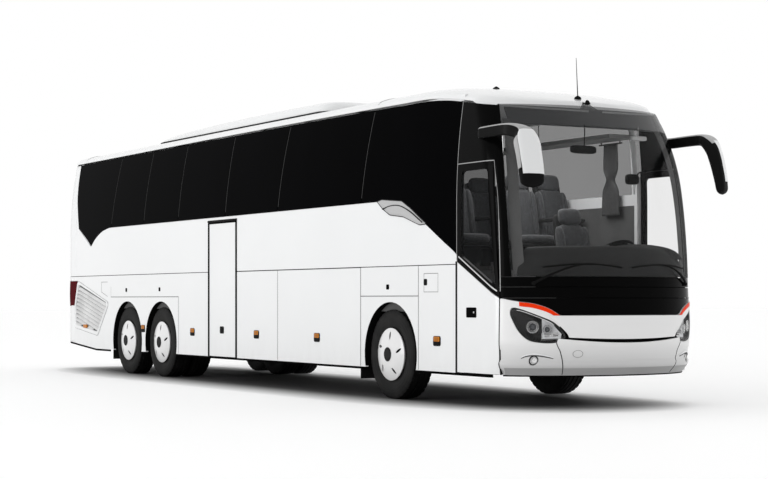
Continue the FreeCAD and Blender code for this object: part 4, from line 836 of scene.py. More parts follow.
def buildLamps(lampLine, fogLine):
    # black housing behind a flush clear cover, two ringed projectors, light strips and a ribbed insert, and a fog lamp
    # under a raised brow
    for side, word in sides:
        ahead = (9.0, side * 3.0, 1.0)
        line = lampLine * np.array([side, 1.0])
        inner = line.mean(0) + 0.975 * (line - line.mean(0))
        bowl = discOn(noseSkin, inner, 12, lambda s: -0.012 - 0.075 * (1 - s**3) ** 0.8, away=ahead)
        wall = wallOn(noseSkin, inner, 0.010, -0.012, ahead)
        rim = ringOn(noseSkin, inner, line.mean(0) + 0.90 * (line - line.mean(0)), 4, lambda t: 0.007 - 0.012 * t)
        housing = makePiece("lampHousing" + word, [bowl, wall, rim], "coach", "lampBlack")
        lens = discOn(noseSkin, line.mean(0) + 0.95 * (line - line.mean(0)), 8,
                      lambda s: 0.007 + 0.010 * (1 - s**4))
        makePiece("lampLens" + word, [lens], "coach", "lampGlass")
        if side < 0:
            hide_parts("headlamps")
        chrome, dark = [], []
        for angle, height, radius in front["bowls"]:
            centre = noseSkin(side * angle, height, -0.03)
            out = noseSkin(side * angle, height, 0.05) - centre
            out = lerp(out / np.linalg.norm(out), np.array([1.0, 0.0, 0.0]), 0.35)
            out /= np.linalg.norm(out)
            t = span(0, 1, 9)
            bowlPath = centre + np.outer(-0.045 * (1 - t**2) + 0.03 * t**3, out)
            wide = radius * np.sqrt(0.12 + 0.88 * t)
            chrome.append(tubePart(bowlPath, wide, 32, capped=False))
            ringPath = centre + np.outer(0.022 + 0.012 * np.sin(t * math.pi), out)
            chrome.append(tubePart(ringPath, radius * lerp(0.78, 0.56, t), 32, capped=False))
            lensPath = centre + np.outer(0.030 * np.sin(t * math.pi / 2) - 0.012, out)
            dark.append(tubePart(lensPath, radius * 0.5 * np.cos(t * math.pi / 2) + 0.0004, 24, capped=False))
        first, last = front["stripAngles"]
        for k, high in enumerate(span(*front["stripHeights"], front["lampStrips"])):
            strip = np.stack([side * span(first + k * 0.6, last, 14), high + 0.01 * span(1, 0, 14)**2], -1)
            chrome.append(tubePart(noseSkin(strip[:, 0], strip[:, 1], -0.03), 0.0055, 6))
        strip = line.mean(0) + 0.86 * (line[8:26] - line.mean(0))
        chrome.append(tubePart(noseSkin(strip[:, 0], strip[:, 1], -0.006), 0.005, 8))
        makePiece("lampReflectors" + word, chrome, "coach", "chrome")
        makePiece("lampProjectors" + word, dark, "coach", "projector")
        pq = np.stack([fogLine(side, r) for r, _ in front["fogRings"]])
        deep = np.array([d for _, d in front["fogRings"]])[:, None] + 0 * pq[..., 0]
        fog = gridPart(noseSkin(pq[..., 0], pq[..., 1], deep), closeV=True, away=ahead)
        makePiece("fogBowl" + word, [fog], "coach", "chrome")
        collar = ringOn(noseSkin, fogLine(side, 0.052), fogLine(side, 0.040), 4, lambda t: 0.004 - 0.010 * t)
        makePiece("fogCollar" + word, [collar], "coach", "lampBlack")
        fogLens = discOn(noseSkin, fogLine(side, 0.040), 6, lambda s: -0.002 + 0.006 * (1 - s**2))
        makePiece("fogLens" + word, [fogLens], "coach", "lampGlass")
        start, end, height = front["brow"]
        t = span(0, 1, 10)
        brow = np.stack([side * lerp(start, end, t), height + 0.035 * np.sin(np.pi * t**0.8)], -1)
        browPath = noseSkin(brow[:, 0], brow[:, 1], 0.0)
        makePiece("fogBrow" + word, [tubePart(browPath, 0.005 + 0.007 * np.sin(np.pi * t), 10)], "coach", "white")
        under = noseSkin(brow[:, 0], brow[:, 1] - 0.012, 0.0)
        makePiece("fogShade" + word, [tubePart(under, 0.003 + 0.006 * np.sin(np.pi * t), 8)], "coach", "seamMid")
        insert = roundedLoop(np.array(front["insert"]) * np.array([side, 1.0]), 0.02, 10)
        shell = discOn(noseSkin, insert, 8, lambda s: -0.038 + 0.02 * s**2)
        makePiece("lampInsert" + word, [shell], "coach", "lampInsert")


buildWindscreen()
buildBumper()
print("nose built")


# Entrance door on the right and the cab panel on the left share their outline.
door = {
    "rear": shape["doorRearX"],
    "low": 0.368,
    "top": 2.632,
    "split": ((5.50, 6.32), (1.577, 1.170)),
    "trim": ((5.545, 6.285), (1.628, 1.247)),
    "border": 0.075,
    "thickness": 0.035,
    "edgeWidth": 0.009,
}


def splitLine(x):
    # the slanting line between the door's white foot and its black frame
    return np.interp(x, *door["split"])


def trimLine(x):
    # the slanting silver line above it
    (x0, x1), (z0, z1) = door["trim"]
    return z0 + (z1 - z0) * (x - x0) / (x1 - x0)


def buildDoor(side, name, body, nodes):
    # white foot, black framed glass over a slanting silver line, and thin light edges round the leaf
    skin = skinOf(side)
    gap = shape["seam"]
    rear, top = door["rear"] + 0.004, door["top"]
    edge = lambda z: doorEdgeX(z) - 0.004
    lower = fourEdges(skin, rear, edge, door["low"], lambda x: splitLine(x) - 0.001, 25, 17)
    leaf = makePiece(name + "Lower", [lower], body, "white")
    thicken(leaf, door["thickness"], 0.003)
    border = door["border"]
    outer = np.array([(rear, splitLine(rear) + 0.001), (edge(1.2), splitLine(6.3) + 0.001), (edge(top), top),
                      (rear, top)])
    inner = np.array([(rear + border, trimLine(rear + border) + 0.03),
                      (edge(1.4) - border * 0.7, trimLine(6.25) + 0.04),
                      (edge(top) - border * 0.9, top - border), (rear + border, top - border)])
    outerLine = roundedLoop(outer, 0.004, 24)
    innerLine = roundedLoop(inner, 0.06, 24)
    ring = ringOn(skin, outerLine, innerLine, 7, lambda t: 0.0)
    upper = makePiece(name + "Frame", [ring], body, "black")
    thicken(upper, door["thickness"], 0.003)
    pane = makePiece(name + "Pane", [discOn(skin, innerLine, 14, lambda s: -0.001)], body,
                     "doorGlass" if side < 0 else "cabGlass")
    run = span(rear + 0.03, edge(1.25) - 0.03, 24)
    line = tubePart(skin(run, trimLine(run), 0.002), 0.005, 8, stretch=(1.0, 1.6))
    makePiece(name + "Line", [line], body, "silver")
    rows = span(1.25, top - 0.004, 20)
    wide = door["edgeWidth"]
    edges = ribbonOn(skin, [(rear - 0.009, 1.59), (rear - 0.009, 3.33)], wide, 0.0015)
    edges += ribbonOn(skin, [(rear, top + 0.006), (edge(top) + 0.003, top + 0.006)], wide, 0.0015)
    edges += ribbonOn(skin, np.stack([edge(rows) + 0.010, rows], -1), wide, 0.0022, 2)
    makePiece(name + "Edges", edges, "coach", "edgeGrey")
    rows = span(0.372, 1.16, 16)
    dark = ribbonOn(skin, [(rear - 0.019, 0.372), (rear - 0.019, 1.56)], 0.032, 0.0015)
    dark += ribbonOn(skin, np.stack([edge(rows) + 0.013, rows], -1), 0.018, 0.0025, 2)
    makePiece(name + "Seal", dark, "coach", "seamDark")
    handle = slabPart((5.705, side * 1.262, 0.965), (5.905, side * 1.2815, 1.075), 12.0)
    if side < 0:
        makePiece(name + "Latch", [handle], body, "seamDark")
        grip = slabPart((5.852, -1.286, 1.012), (5.872, -1.279, 1.032), 4.0)
        makePiece(name + "LatchGrip", [grip], body, "silver")
        brackets = [slabPart((6.13, -1.245, z - 0.06), (6.25, -1.1428, z + 0.06), 14.0) for z in (0.90, 1.50)]
        makePiece(name + "Brackets", brackets, body, "steel")
    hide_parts(nodes[0])
    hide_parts(nodes[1])
    above = fourEdges(skin, rear, lambda z: doorEdgeX(z) + 0.001, top + gap, lambda x: eaveLine(x) - 0.006, 15, 15)
    panel = makePiece(name + "Header", [above], "coach", "black")
    thicken(panel, 0.02, 0.003)


band = {
    "top": 3.405,
    "low": 2.31,
    "rearEdge": ((2.337, 2.6, 2.826, 3.1, 3.391), (-6.39, -6.46, -6.52, -6.545, -6.54)),
    "tip": (-5.812, 2.03),
    "tipFront": -4.85,
    "corner": (-6.38, 2.337),
    "proud": 0.0008,
    "sweep": ((3.74, 4.1, 4.435, 4.835, 5.179, 5.49, 5.52), (2.31, 2.30, 2.218, 2.009, 1.825, 1.66, 1.64)),
    "dividers": ((-4.642, -4.905), (-3.35, -3.532), (-2.047, -2.195), (-0.414, -0.546), (1.285, 1.095),
                 (3.52, 3.348)),
    "gap": 0.016,
    "thickness": 0.012,
}


def eaveLine(x):
    # the height at which side and roof meet
    return smoothTable(x, (-8.0, 4.2, 4.78, 5.206, 5.619, 5.919, 6.4),
                       (3.41, 3.41, 3.405, 3.371, 3.311, 3.268, 3.20))


def bandLow(x):
    # lower edge: level, with a pointed drop at the tail and a sweep down to the entrance door
    tipX, tipZ = band["tip"]
    ahead = np.clip((x - tipX) / (band["tipFront"] - tipX), 0, 1)
    drop = band["low"] - (band["low"] - tipZ) * (1 - ahead)**2.2
    cornerX, cornerZ = band["corner"]
    behind = lerp(tipZ, cornerZ, np.clip((tipX - x) / (tipX - cornerX), 0, 1)**0.85)
    tail = np.where(x < tipX, behind, drop)
    start, end = band["sweep"][0][0], band["sweep"][0][-1]
    return np.where(x > start, smoothTable(np.clip(x, start, end), *band["sweep"]), tail)


def bandRear(z):
    # the window band's rear end at a height
    return smoothTable(z, *band["rearEdge"])


def buildBand():
    # flush dark panes in dark gaps, on both sides
    seals = []
    for side, word, finish in ((-1, "Right", "bandGlass"), (1, "Left", "sideGlass")):
        skin = skinOf(side)
        panes = []
        lines = [(lambda z, t=top, b=low: lerp(b, t, (z - band["low"]) / (band["top"] - band["low"])))
                 for top, low in band["dividers"]]
        lastX = shape["doorRearX"] - 0.006
        edges = [*lines, lambda z: lastX + 0 * z]
        half, proud = band["gap"] / 2, band["proud"]
        cornerX, cornerZ = band["corner"]
        top = lambda x: eaveLine(x) - 0.004
        panes.append(fourEdges(skin, lambda z: np.where(z < cornerZ, cornerX + 0 * z, bandRear(z)),
                               lambda z: lines[0](z) - half, lambda x: np.maximum(bandLow(x), band["tip"][1]), top,
                               61, 31, proud))
        for start, end in zip(edges[:-1], edges[1:]):
            inset = half if end is not edges[-1] else 0.0
            panes.append(fourEdges(skin, lambda z: start(z) + half, lambda z: end(z) - inset, bandLow, top, 41, 21,
                                   proud))
        for line in lines:
            seals.append(fourEdges(skin, lambda z: line(z) - half, lambda z: line(z) + half, band["low"] + 0.06,
                                   lambda x: top(x) - 0.02, 3, 21, -0.002))
        glass = makePiece("bandPanes" + word, panes, "coach", finish)
        thicken(glass, band["thickness"], 0.0015, 2)
        if side < 0:
            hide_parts("side_glass")
        filler = fourEdges(skin, 5.05, lastX, 1.56, lambda x: bandLow(x) - 0.002, 12, 6, 0.0004)
        makePiece("sweepFiller" + word, [filler], "coach", "white")
    makePiece("bandSeals", seals, "coach", "paneLine")


buildDoor(-1, "entranceDoor", "front_door", ("front_door", "front_door_glass"))
buildDoor(1, "cabSide", "coach", ("cab_panel_left", "driver_window"))
buildBand()
print("doors and window band built")


roof = {
    "rearFall": 0.42,
    "crown": 3.60,
    "fallStart": 4.3175,
    "fallRadius": 6.2,
    "power": 3.0,
}


def roofHeight(x, y):
    # superellipse from eave to eave at each x; its crown falls to the windscreen and rounds down at the tail
    rear = backX(3.41)
    z = eaveLine(x)
    drop = np.maximum(0, x - roof["fallStart"])
    crown = roof["crown"] - (roof["fallRadius"] - np.sqrt(roof["fallRadius"]**2 - drop**2))
    t = np.clip((rear + roof["rearFall"] - x) / roof["rearFall"], 0, 1)
    rise = np.maximum(crown - z, 0.004) * (1 - t**roof["power"])**(1 / roof["power"])
    edge = np.abs(sideSkin(x, 3.40, 1)[..., 1])
    share = np.clip(np.abs(y) / edge, 0, 1)
    return z + rise * (1 - share**roof["power"])**(1 / roof["power"])


def buildRoof():
    # sine steps across, eased steps along, each point lifted to the roof's height
    v = span(-math.pi / 2, math.pi / 2, 61)[None, :]
    yShare = np.sin(v)
    edgeY = halfWidth(3.40)
    y = yShare * (edgeY - 0.0005)
    a = np.arcsin(np.clip(np.abs(y) / halfWidth(3.27), -1, 1))
    xFront = frontX(3.27) - frontDepth(3.27) + frontDepth(3.27) * np.cos(a)
    corner = shape["tailCorner"]
    turn = np.clip((np.abs(y) - (edgeY - corner)) / corner, 0, 1)
    xRear = backX(3.40) + corner - corner * np.sqrt(1 - turn**2)
    x = lerp(xRear, xFront, easeEnds(121)[:, None])
    z = roofHeight(x, y)
    top = gridPart(spots(x, y, z), away=(0, 0, 0))
    shell = makePiece("roofShell", [top], "coach", "white", sharp=60)
    thicken(shell, 0.02, 0)
    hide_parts("roof_shell")


unit = {
    "rear": -3.90,
    "front": 1.945,
    "half": 0.95,
    "base": 3.55,
    "contour": ((-3.90, -3.6, -3.265, -2.6, -2.136, -0.424, 1.104, 1.62, 1.82, 1.92, 1.945),
                (3.585, 3.640, 3.675, 3.705, 3.718, 3.738, 3.730, 3.720, 3.690, 3.615, 3.57)),
}


def buildRoofUnit():
    # long low housing: the contour along its length, falling to a rounded edge on each side
    x = lerp(unit["rear"], unit["front"], easeEnds(81))[:, None]
    v = span(-1, 1, 49)[None, :]
    share = np.sin(v * math.pi / 2)
    ends = np.sqrt(np.clip(1 - np.clip((unit["rear"] + 0.5 - x) / 0.5, 0, 1)**2.5, 0, 1))
    nose = np.sqrt(1 - np.clip((x - unit["front"] + 0.34) / 0.345, 0, 1)**2)
    y = share * unit["half"] * (0.70 + 0.30 * ends) * (0.42 + 0.58 * nose)
    crown = smoothTable(x, *unit["contour"])
    z = unit["base"] + (crown - unit["base"]) * (1 - np.abs(share)**9)**(1 / 3.0)
    housing = gridPart(spots(x, y, z), away=(0, 0, 0))
    piece = makePiece("roofUnit", [housing], "coach", "white", sharp=50)
    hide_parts("roof_unit")
    base = np.stack([np.concatenate([x[:, 0], x[::-1, 0]]),
                     np.concatenate([y[:, 0] - 0.006, -y[::-1, 0] + 0.006]),
                     np.full(162, 3.572)], -1)
    closed = looped(base)
    makePiece("roofUnitBase", [tubePart(closed, 0.011, 8, capped=False)], "coach", "rubberTrim")


def buildTail():
    # one smooth skin round both corners, split at the lid and the window; the rear pane, the engine lid with its
    # slats, and the lamps
    wall = 0.03
    gap = shape["seam"]
    sill = lambda t: shape["sill"] + 0.11 * np.clip((-5.567 - tailSkin(t, 0.5)[..., 0]) / 1.45, 0, 1)
    zLid = (0.62, 1.70)
    lidT = 0.53
    windowZ = (2.38, 3.28)
    lampT, lampZ = (0.60, 0.86), (1.05, 1.473)
    parts = []
    for side in (-1, 1):
        e = lambda t0, t1: (side * t0, side * t1)
        parts.append(fourEdges(tailSkin, *e(lampT[1], 1.0), sill, 3.405, 13, 61))
        parts.append(fourEdges(tailSkin, *e(lampT[0], lampT[1]), lampZ[1] + gap, 3.405, 11, 41))
        parts.append(fourEdges(tailSkin, *e(lampT[0], lampT[1]), sill, lampZ[0] - gap, 11, 17))
        parts.append(fourEdges(tailSkin, *e(lidT + 0.004, lampT[0]), sill, 3.405, 5, 61))
    parts.append(fourEdges(tailSkin, -lidT - 0.004, lidT + 0.004, zLid[1] + gap, windowZ[0], 25, 17))
    parts.append(fourEdges(tailSkin, -lidT - 0.004, lidT + 0.004, windowZ[1], 3.405, 25, 7))
    parts.append(fourEdges(tailSkin, -lidT - 0.004, lidT + 0.004, sill, zLid[0] - gap, 25, 7))
    for side in (-1, 1):
        parts.append(fourEdges(tailSkin, side * 0.5, side * (lidT + 0.004), windowZ[0], windowZ[1], 3, 21))
    skin = makePiece("tailSkin", parts, "coach", "white", merge=0.0002)
    thicken(skin, wall, 0)
    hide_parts("rear_wall")
    pane = fourEdges(tailSkin, -0.5, 0.5, *windowZ, 31, 21, 0.001)
    glass = makePiece("rearPane", [pane], "coach", "bandGlass")
    thicken(glass, 0.012, 0.0015)
    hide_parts("rear_window")
    lid = [fourEdges(tailSkin, -lidT, lidT, zLid[0], 0.86, 21, 7),
           fourEdges(tailSkin, -lidT, lidT, 1.34, zLid[1], 21, 11)]
    for side in (-1, 1):
        lid.append(fourEdges(tailSkin, side * 0.42, side * lidT, 0.86, 1.34, 5, 11))
    lidPiece = makePiece("engineLidSkin", lid, "engine_lid", "white", merge=0.0002)
    thicken(lidPiece, 0.035, 0.003)
    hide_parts("engine_lid")
    slats = []
    for k in range(9):
        z = 0.885 + 0.05 * k
        slats.append(fourEdges(lambda p, q, out=0.0: tailSkin(p, q, -0.028 + (q - z) * 0.55), -0.42, 0.42, z,
                               z + 0.042, 21, 5))
    slatPiece = makePiece("engineLidSlats", slats, "engine_lid", "blackPlastic")
    thicken(slatPiece, 0.003, 0)
    lamps = []
    for side in (-1, 1):
        lamps.append(fourEdges(tailSkin, side * (lampT[0] + 0.004), side * (lampT[1] - 0.004), *lampZ, 15, 15,
                               lambda p, q: 0.006 * np.sin(np.pi * np.clip((q - 1.05) / 0.423, 0, 1))))
        lamps.append(fourEdges(skinOf(side), -6.745,
                               lambda z: -6.435 - 0.34 * (1.462 - z), lampZ[0] + 0.01, lampZ[1] - 0.004, 12, 15,
                               0.009))
    lampPiece = makePiece("tailLampLens", lamps, "coach", "red")
    thicken(lampPiece, 0.03, 0.004, 3)
    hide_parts("tail_lamps")


buildRoof()
buildRoofUnit()
buildTail()
print("roof and tail built")


grille = {
    "corners": ((-6.43, 1.462), (-6.34, 1.452), (-5.055, 1.125), (-5.03, 1.06), (-5.50, 0.57), (-6.575, 0.69),
                (-6.585, 1.02)),
    "round": 0.05,
    "innerShares": (0.925, 0.86),
    "slats": 13,
    "slatLow": 0.64,
    "slatHigh": 1.52,
    "fall": 0.225,
}


def buildGrilles():
    # white rounded frame with slats that fall to the nose and scalloped rear ends, on both sides
    frames, blades, backs, jointShades = [], [], [], []
    for side in (-1, 1):
        skin = skinOf(side)
        outer = roundedLoop(grille["corners"], grille["round"], 18)
        c = outer.mean(0)
        inner = c + (outer - c) * np.array(grille["innerShares"])
        frames.append(ringOn(skin, outer, inner, 9, lambda t: 0.002 + 0.014 * np.sin(np.pi * t)**0.7))
        frames.append(wallOn(skin, inner, 0.002, -0.036, skin(np.array(c[0]), np.array(c[1]), 0.0)))
        # a grey line round the frame's outer edge: its joint with the side, made darker as painted shade
        edge = looped(outer)
        jointShades.append(tubePart(skin(edge[:, 0], edge[:, 1], 0.0), 0.0035, 6, capped=False))
        low, high = grille["slatLow"], grille["slatHigh"]
        for k in range(grille["slats"] + 6):
            z0 = low + (high - low) * k / grille["slats"]
            x = span(-6.56, -5.04, 60)
            inside = insideLoop(x, z0 - (x + 6.56) * grille["fall"], inner)
            if inside.sum() < 5:
                continue
            run = x[inside]
            across = span(-0.5, 0.5, 9)[None]
            xx = lerp(run[0] - 0.012, run[-1] + 0.012, span(0, 1, 30))[:, None]
            zz = z0 - (xx + 6.56) * grille["fall"] + across * 0.046
            lean = 0.5 - across
            scallop = 0.010 * np.exp(-((xx - run[0]) / 0.10)**2) * np.cos(math.pi * across)
            blades.append(gridPart(skin(xx, zz, -0.030 + 0.030 * lean**1.5 + scallop), away=middleOfCoach))
        backs.append(discOn(skin, inner, 5, lambda s: -0.034))
    whiteFrame = makePiece("grilleFrames", frames, "coach", "white")
    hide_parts("side_grilles")
    thicken(makePiece("grilleSlats", blades, "coach", "slat"), 0.004, 0)
    makePiece("grilleBacks", backs, "coach", "seamGrey")
    makePiece("grilleJointShade", jointShades, "coach", "seamGrey")


def insideLoop(x, z, loop):
    # even-odd count of a closed outline's crossings to the right of each point
    a, b = loop, np.roll(loop, -1, 0)
    crosses = (a[None, :, 1] > z[:, None]) != (b[None, :, 1] > z[:, None])
    at = a[None, :, 0] + (z[:, None] - a[None, :, 1]) * (b - a)[None, :, 0] / ((b - a)[None, :, 1] + 1e-12)
    return ((at > x[:, None]) & crosses).sum(1) % 2 == 1


buildGrilles()


def markerPart(x, z, side, halfX, halfZ, proud):
    loop = roundedLoop([(x - halfX, z - halfZ), (x + halfX, z - halfZ), (x + halfX, z + halfZ),
                        (x - halfX, z + halfZ)],
                       min(halfX, halfZ) * 0.5, 10)
    skin = skinOf(side)
    return [discOn(skin, loop, 4, lambda s: proud - proud * 0.4 * s**6),
            wallOn(skin, loop, proud * 0.6, -0.004, skin(x, z, -0.3))]


sideDetails = {
    "markers": ((-1.667, 0.699), (0.461, 0.699), (2.21, 0.691), (5.094, 0.704), (-3.55, 0.722)),
    "dots": ((-4.245, 1.309), (-2.898, 1.313), (3.991, 1.306)),
    "crease": 1.545,
    "tailEnd": -6.86,
    "middleDoor": (-1.071, -0.202, 0.368, 2.223),
    "verticals": {"Right": (1.10, 3.34, 4.69, -2.18), "Left": (1.10, 3.34, 4.69, -2.18, -1.14)},
    "archTop": 1.20,
    "archRuns": ((3.34, 4.69), (-4.906, -2.18)),
    "seamWidth": 0.009,
    "fuelFlap": (4.813, 5.115, 1.245, 1.452),
    "serviceFlap": (-5.33, -5.06, 1.441, 1.28, 1.21),
    "wing": ((3.745, 2.312), (3.855, 2.330), (4.321, 2.292), (4.503, 2.209), (4.87, 2.010), (4.725, 2.002),
             (4.367, 2.107), (4.045, 2.143), (3.88, 2.22)),
}


def flapBodyAt(x, side, word):
    # the body under a place low on the side
    if 1.11 < x < 3.33:
        return f"luggage_flap_{word.lower()}_front"
    if (-0.19 if side < 0 else -1.13) < x < 1.09:
        return f"luggage_flap_{word.lower()}_rear"
    return "coach"


def buildSideDetails():
    # seams as dark ribbons with painted shade along the crease, lamps, latches, service flaps, the trim below the
    # first window, and painted shadow strips under the sill
    wide = sideDetails["seamWidth"]
    crease = sideDetails["crease"]
    doorRear, doorFront, doorLow, doorHigh = sideDetails["middleDoor"]
    for side, word in sides:
        skin = skinOf(side)
        dark, grey = [], []
        runs = [(sideDetails["tailEnd"], shape["doorRearX"] - 0.01)]
        if side < 0:
            runs = [(runs[0][0], doorRear - 0.02), (doorFront + 0.02, runs[0][1])]
            pad = 0.022
            sealLine = [(doorRear - pad, doorLow), (doorRear - pad, doorHigh + pad),
                        (doorFront + pad, doorHigh + pad),
                      (doorFront + pad, doorLow)]
            makePiece("middleDoorSeal", ribbonOn(skin, sealLine, 0.052, 0.0035), "coach", "seamDark")
            top = [(doorRear - 0.04, doorHigh + 0.030), (doorFront + 0.04, doorHigh + 0.030)]
            makePiece("middleDoorGutter",
                      [tubePart(skin(span(*[p[0] for p in top], 20), top[0][1], 0.004), 0.012, 8)],
                      "coach", "blackPlastic")
        # the ribbon along the crease is painted shade under the upper wall's step; the other ribbons mark panel joints
        for a, b in runs:
            dark += ribbonOn(skin, [(a, crease), (b, crease)], wide, 0.0014, 60)
        for x in sideDetails["verticals"][word]:
            dark += ribbonOn(skin, [(x, 0.37 if x > -2 else 0.38), (x, crease - 0.004 if x > -2 else 1.20)],
                             wide * 0.8, 0.0014)
        for a, b in sideDetails["archRuns"]:
            dark += ribbonOn(skin, [(a, sideDetails["archTop"]), (b, sideDetails["archTop"])], wide * 0.9, 0.0015)
        grey += ribbonOn(skin, [(-4.906, 1.20), (-4.906, 1.36)], 0.006, 0.0013)
        x0, x1, z0, z1 = sideDetails["fuelFlap"]
        grey += ribbonOn(skin, [(x0, z0), (x0, z1), (x1, z1), (x1, z0), (x0, z0)], 0.006, 0.0013)
        x0, x1, z0, z1, z2 = sideDetails["serviceFlap"]
        grey += ribbonOn(skin, [(x1, z0), (x0, z0), (x0, z1), (x1, z2)], 0.007, 0.0013)
        makePiece("seams" + word, dark, "coach", "seamMid")
        makePiece("flapLines" + word, grey, "coach", "seamGrey")
        for k, (x, z) in enumerate(sideDetails["markers"]):
            body = flapBodyAt(x, side, word)
            makePiece(f"marker{word}{k}", markerPart(x, z + 0.016, side, 0.064, 0.028, 0.013), body, "amber")
            makePiece(f"markerFoot{word}{k}", markerPart(x, z - 0.006, side, 0.078, 0.056, 0.008), body,
                      "blackPlastic")
        for k, (x, z) in enumerate(sideDetails["dots"]):
            makePiece(f"latchDot{word}{k}", markerPart(x, z, side, 0.034, 0.030, 0.003), "coach", "seamDark")
        makePiece("grilleMarker" + word, markerPart(-6.07, 0.72, side, 0.09, 0.028, 0.016), "coach", "amber")
        makePiece("fuelFlapLatch" + word, markerPart(4.845, 1.355, side, 0.036, 0.036, 0.005), "coach",
                  "blackPlastic")
        loop = roundedLoop(sideDetails["wing"], 0.02, 12)
        wing = discOn(skin, loop, 8, lambda s: 0.004 + 0.020 * (1 - s**3))
        closed = looped(loop)
        lines = [tubePart(skin(closed[:, 0], closed[:, 1], 0.004), 0.0055, 6, capped=False)]
        x = span(3.90, 4.80, 24)
        z = smoothTable(x, (3.90, 4.05, 4.30, 4.50, 4.80), (2.215, 2.242, 2.238, 2.175, 2.03))
        lines.append(tubePart(skin(x, z, 0.020), 0.0065, 6))
        makePiece("bandWing" + word, [wing, wallOn(skin, loop, 0.004, -0.004, skin(4.2, 2.2, -0.3))], "coach",
                  "silverPaint")
        makePiece("bandWingRibs" + word, lines, "coach", "seamMid")
        # dark strips under the sill and the tail's lower edge: painted shadow of the underbody
        sill = [(-2.26, 3.43), (4.64, 6.20)]
        strips = [gridPart(skin(span(a, b, 40)[:, None], np.array([[0.332, 0.366]]), -0.006), away=middleOfCoach)
                  for a, b in sill]
        x = span(-6.93, -4.93, 40)
        low = tailSill(x)
        pq = np.stack([np.stack([x, low - 0.030], -1), np.stack([x, low + 0.006], -1)], 1)
        strips.append(gridPart(skin(pq[..., 0], pq[..., 1], -0.004), away=middleOfCoach))
        thicken(makePiece("sillPaintedShadow" + word, strips, "coach", "seamDark"), 0.006, 0)
    makePiece("middleDoorLatch", markerPart(-0.647, 0.736, -1, 0.066, 0.050, 0.006), "middle_door", "blackPlastic")


buildSideDetails()

wheel = {
    "tyreHalf": 0.1475,
    "radius": 0.522,
    "bore": 0.300,
    "twin": 0.330,
    "grooves": ((-0.088, 0.006), (-0.033, 0.007), (0.033, 0.007), (0.088, 0.006)),
    "grooveDepth": 0.011,
    "sectors": 180,
    "coverRadius": 0.306,
    "dome": 0.050,
    "hubRadius": 0.086,
    "slotRing": (0.170, 0.268),
    "slotHalf": 0.0170,
    "slots": 5,
    "lean": -0.28,
    "phase": 0.09,
}


def buildArches():
    # black liner inside each wheel opening: one round arch over the wheel that runs down to the sill
    for place in ("front", "drive", "tag"):
        for side, word in sides:
            low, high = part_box(f"rim_{place}_{word.lower()}")
            x, z = (low.x + high.x) / 2 + 0.04, wheel["radius"]
            turn = np.radians(span(-104, 104, 57))
            run = np.stack([x + 0.608 * np.sin(turn), z + 0.608 * np.cos(turn)], -1)
            edge = sideSkin(run[:, 0], run[:, 1], side, -0.0015)[:, 1]
            y = edge[None] - side * np.array([0.0, 0.012, 0.10, 0.33])[:, None]
            shell = spots(run[None, :, 0], y, run[None, :, 1])
            makePiece(f"archLiner{place}{word}", [gridPart(shell, away=(x, side * 1.1, 9.0))], "coach",
                      "linerBlack")


def tyrePart(centre, side):
    # half section (place across, radius): bulged wall, ringed shoulder and a crown with four grooves, then turned
    # about the axle; a block pattern lowers every fifth sector of the shoulders
    half, top, bore = wheel["tyreHalf"], wheel["radius"], wheel["bore"]
    rise = span(0, 1, 15)
    wallR = lerp(bore, top - 0.030, rise)
    wallY = half - 0.030 * (1 - rise)**2.2 - 0.016 * rise**3 + 0.0018 * np.sin(rise * 30)**8
    crownY = span(half - 0.026, -(half - 0.026), 55)
    crownR = top - 0.006 * np.abs(crownY / half)**4
    for place, width in wheel["grooves"]:
        crownR = crownR - wheel["grooveDepth"] * (np.abs(crownY - place) < width)
    y = np.concatenate([wallY, crownY, -wallY[::-1]])
    r = np.concatenate([wallR, crownR, wallR[::-1]])
    angle = fullTurn(wheel["sectors"])[None]
    sipe = (np.arange(wheel["sectors"]) % 5 == 0)[None] & (np.abs(y) > 0.094)[:, None] & (r > top - 0.034)[:, None]
    radius = r[:, None] - 0.009 * sipe
    x = centre[0] + radius * np.sin(angle)
    z = centre[2] + radius * np.cos(angle)
    return gridPart(np.stack([x, centre[1] + side * y[:, None] + 0 * angle, z], -1), closeU=True, closeV=True)


def almond(centre, side, angle, y0, y1, grow=1.0):
    # closed plug with a pointed oval section, on a ray from the hub
    low, high = wheel["slotRing"]
    t = fullTurn(20)
    along = (low + high) / 2 + (high - low) / 2 * np.cos(t) * grow
    across = wheel["slotHalf"] * np.sin(t) * np.abs(np.sin(t))**0.4 * grow + wheel["lean"] * (along - 0.226)
    x = centre[0] + along * math.sin(angle) + across * math.cos(angle)
    z = centre[2] + along * math.cos(angle) - across * math.sin(angle)
    rows = [(x.mean(), y0, z.mean(), 0.0), (0, y0, 0, 1.0), (0, y1, 0, 1.0), (x.mean(), y1, z.mean(), 0.0)]
    grid = [np.stack([lerp(x.mean(), x, k), centre[1] + side * (y + 0 * x), lerp(z.mean(), z, k)], -1)
            for _, y, _, k in rows]
    return gridPart(np.stack(grid), closeV=True)


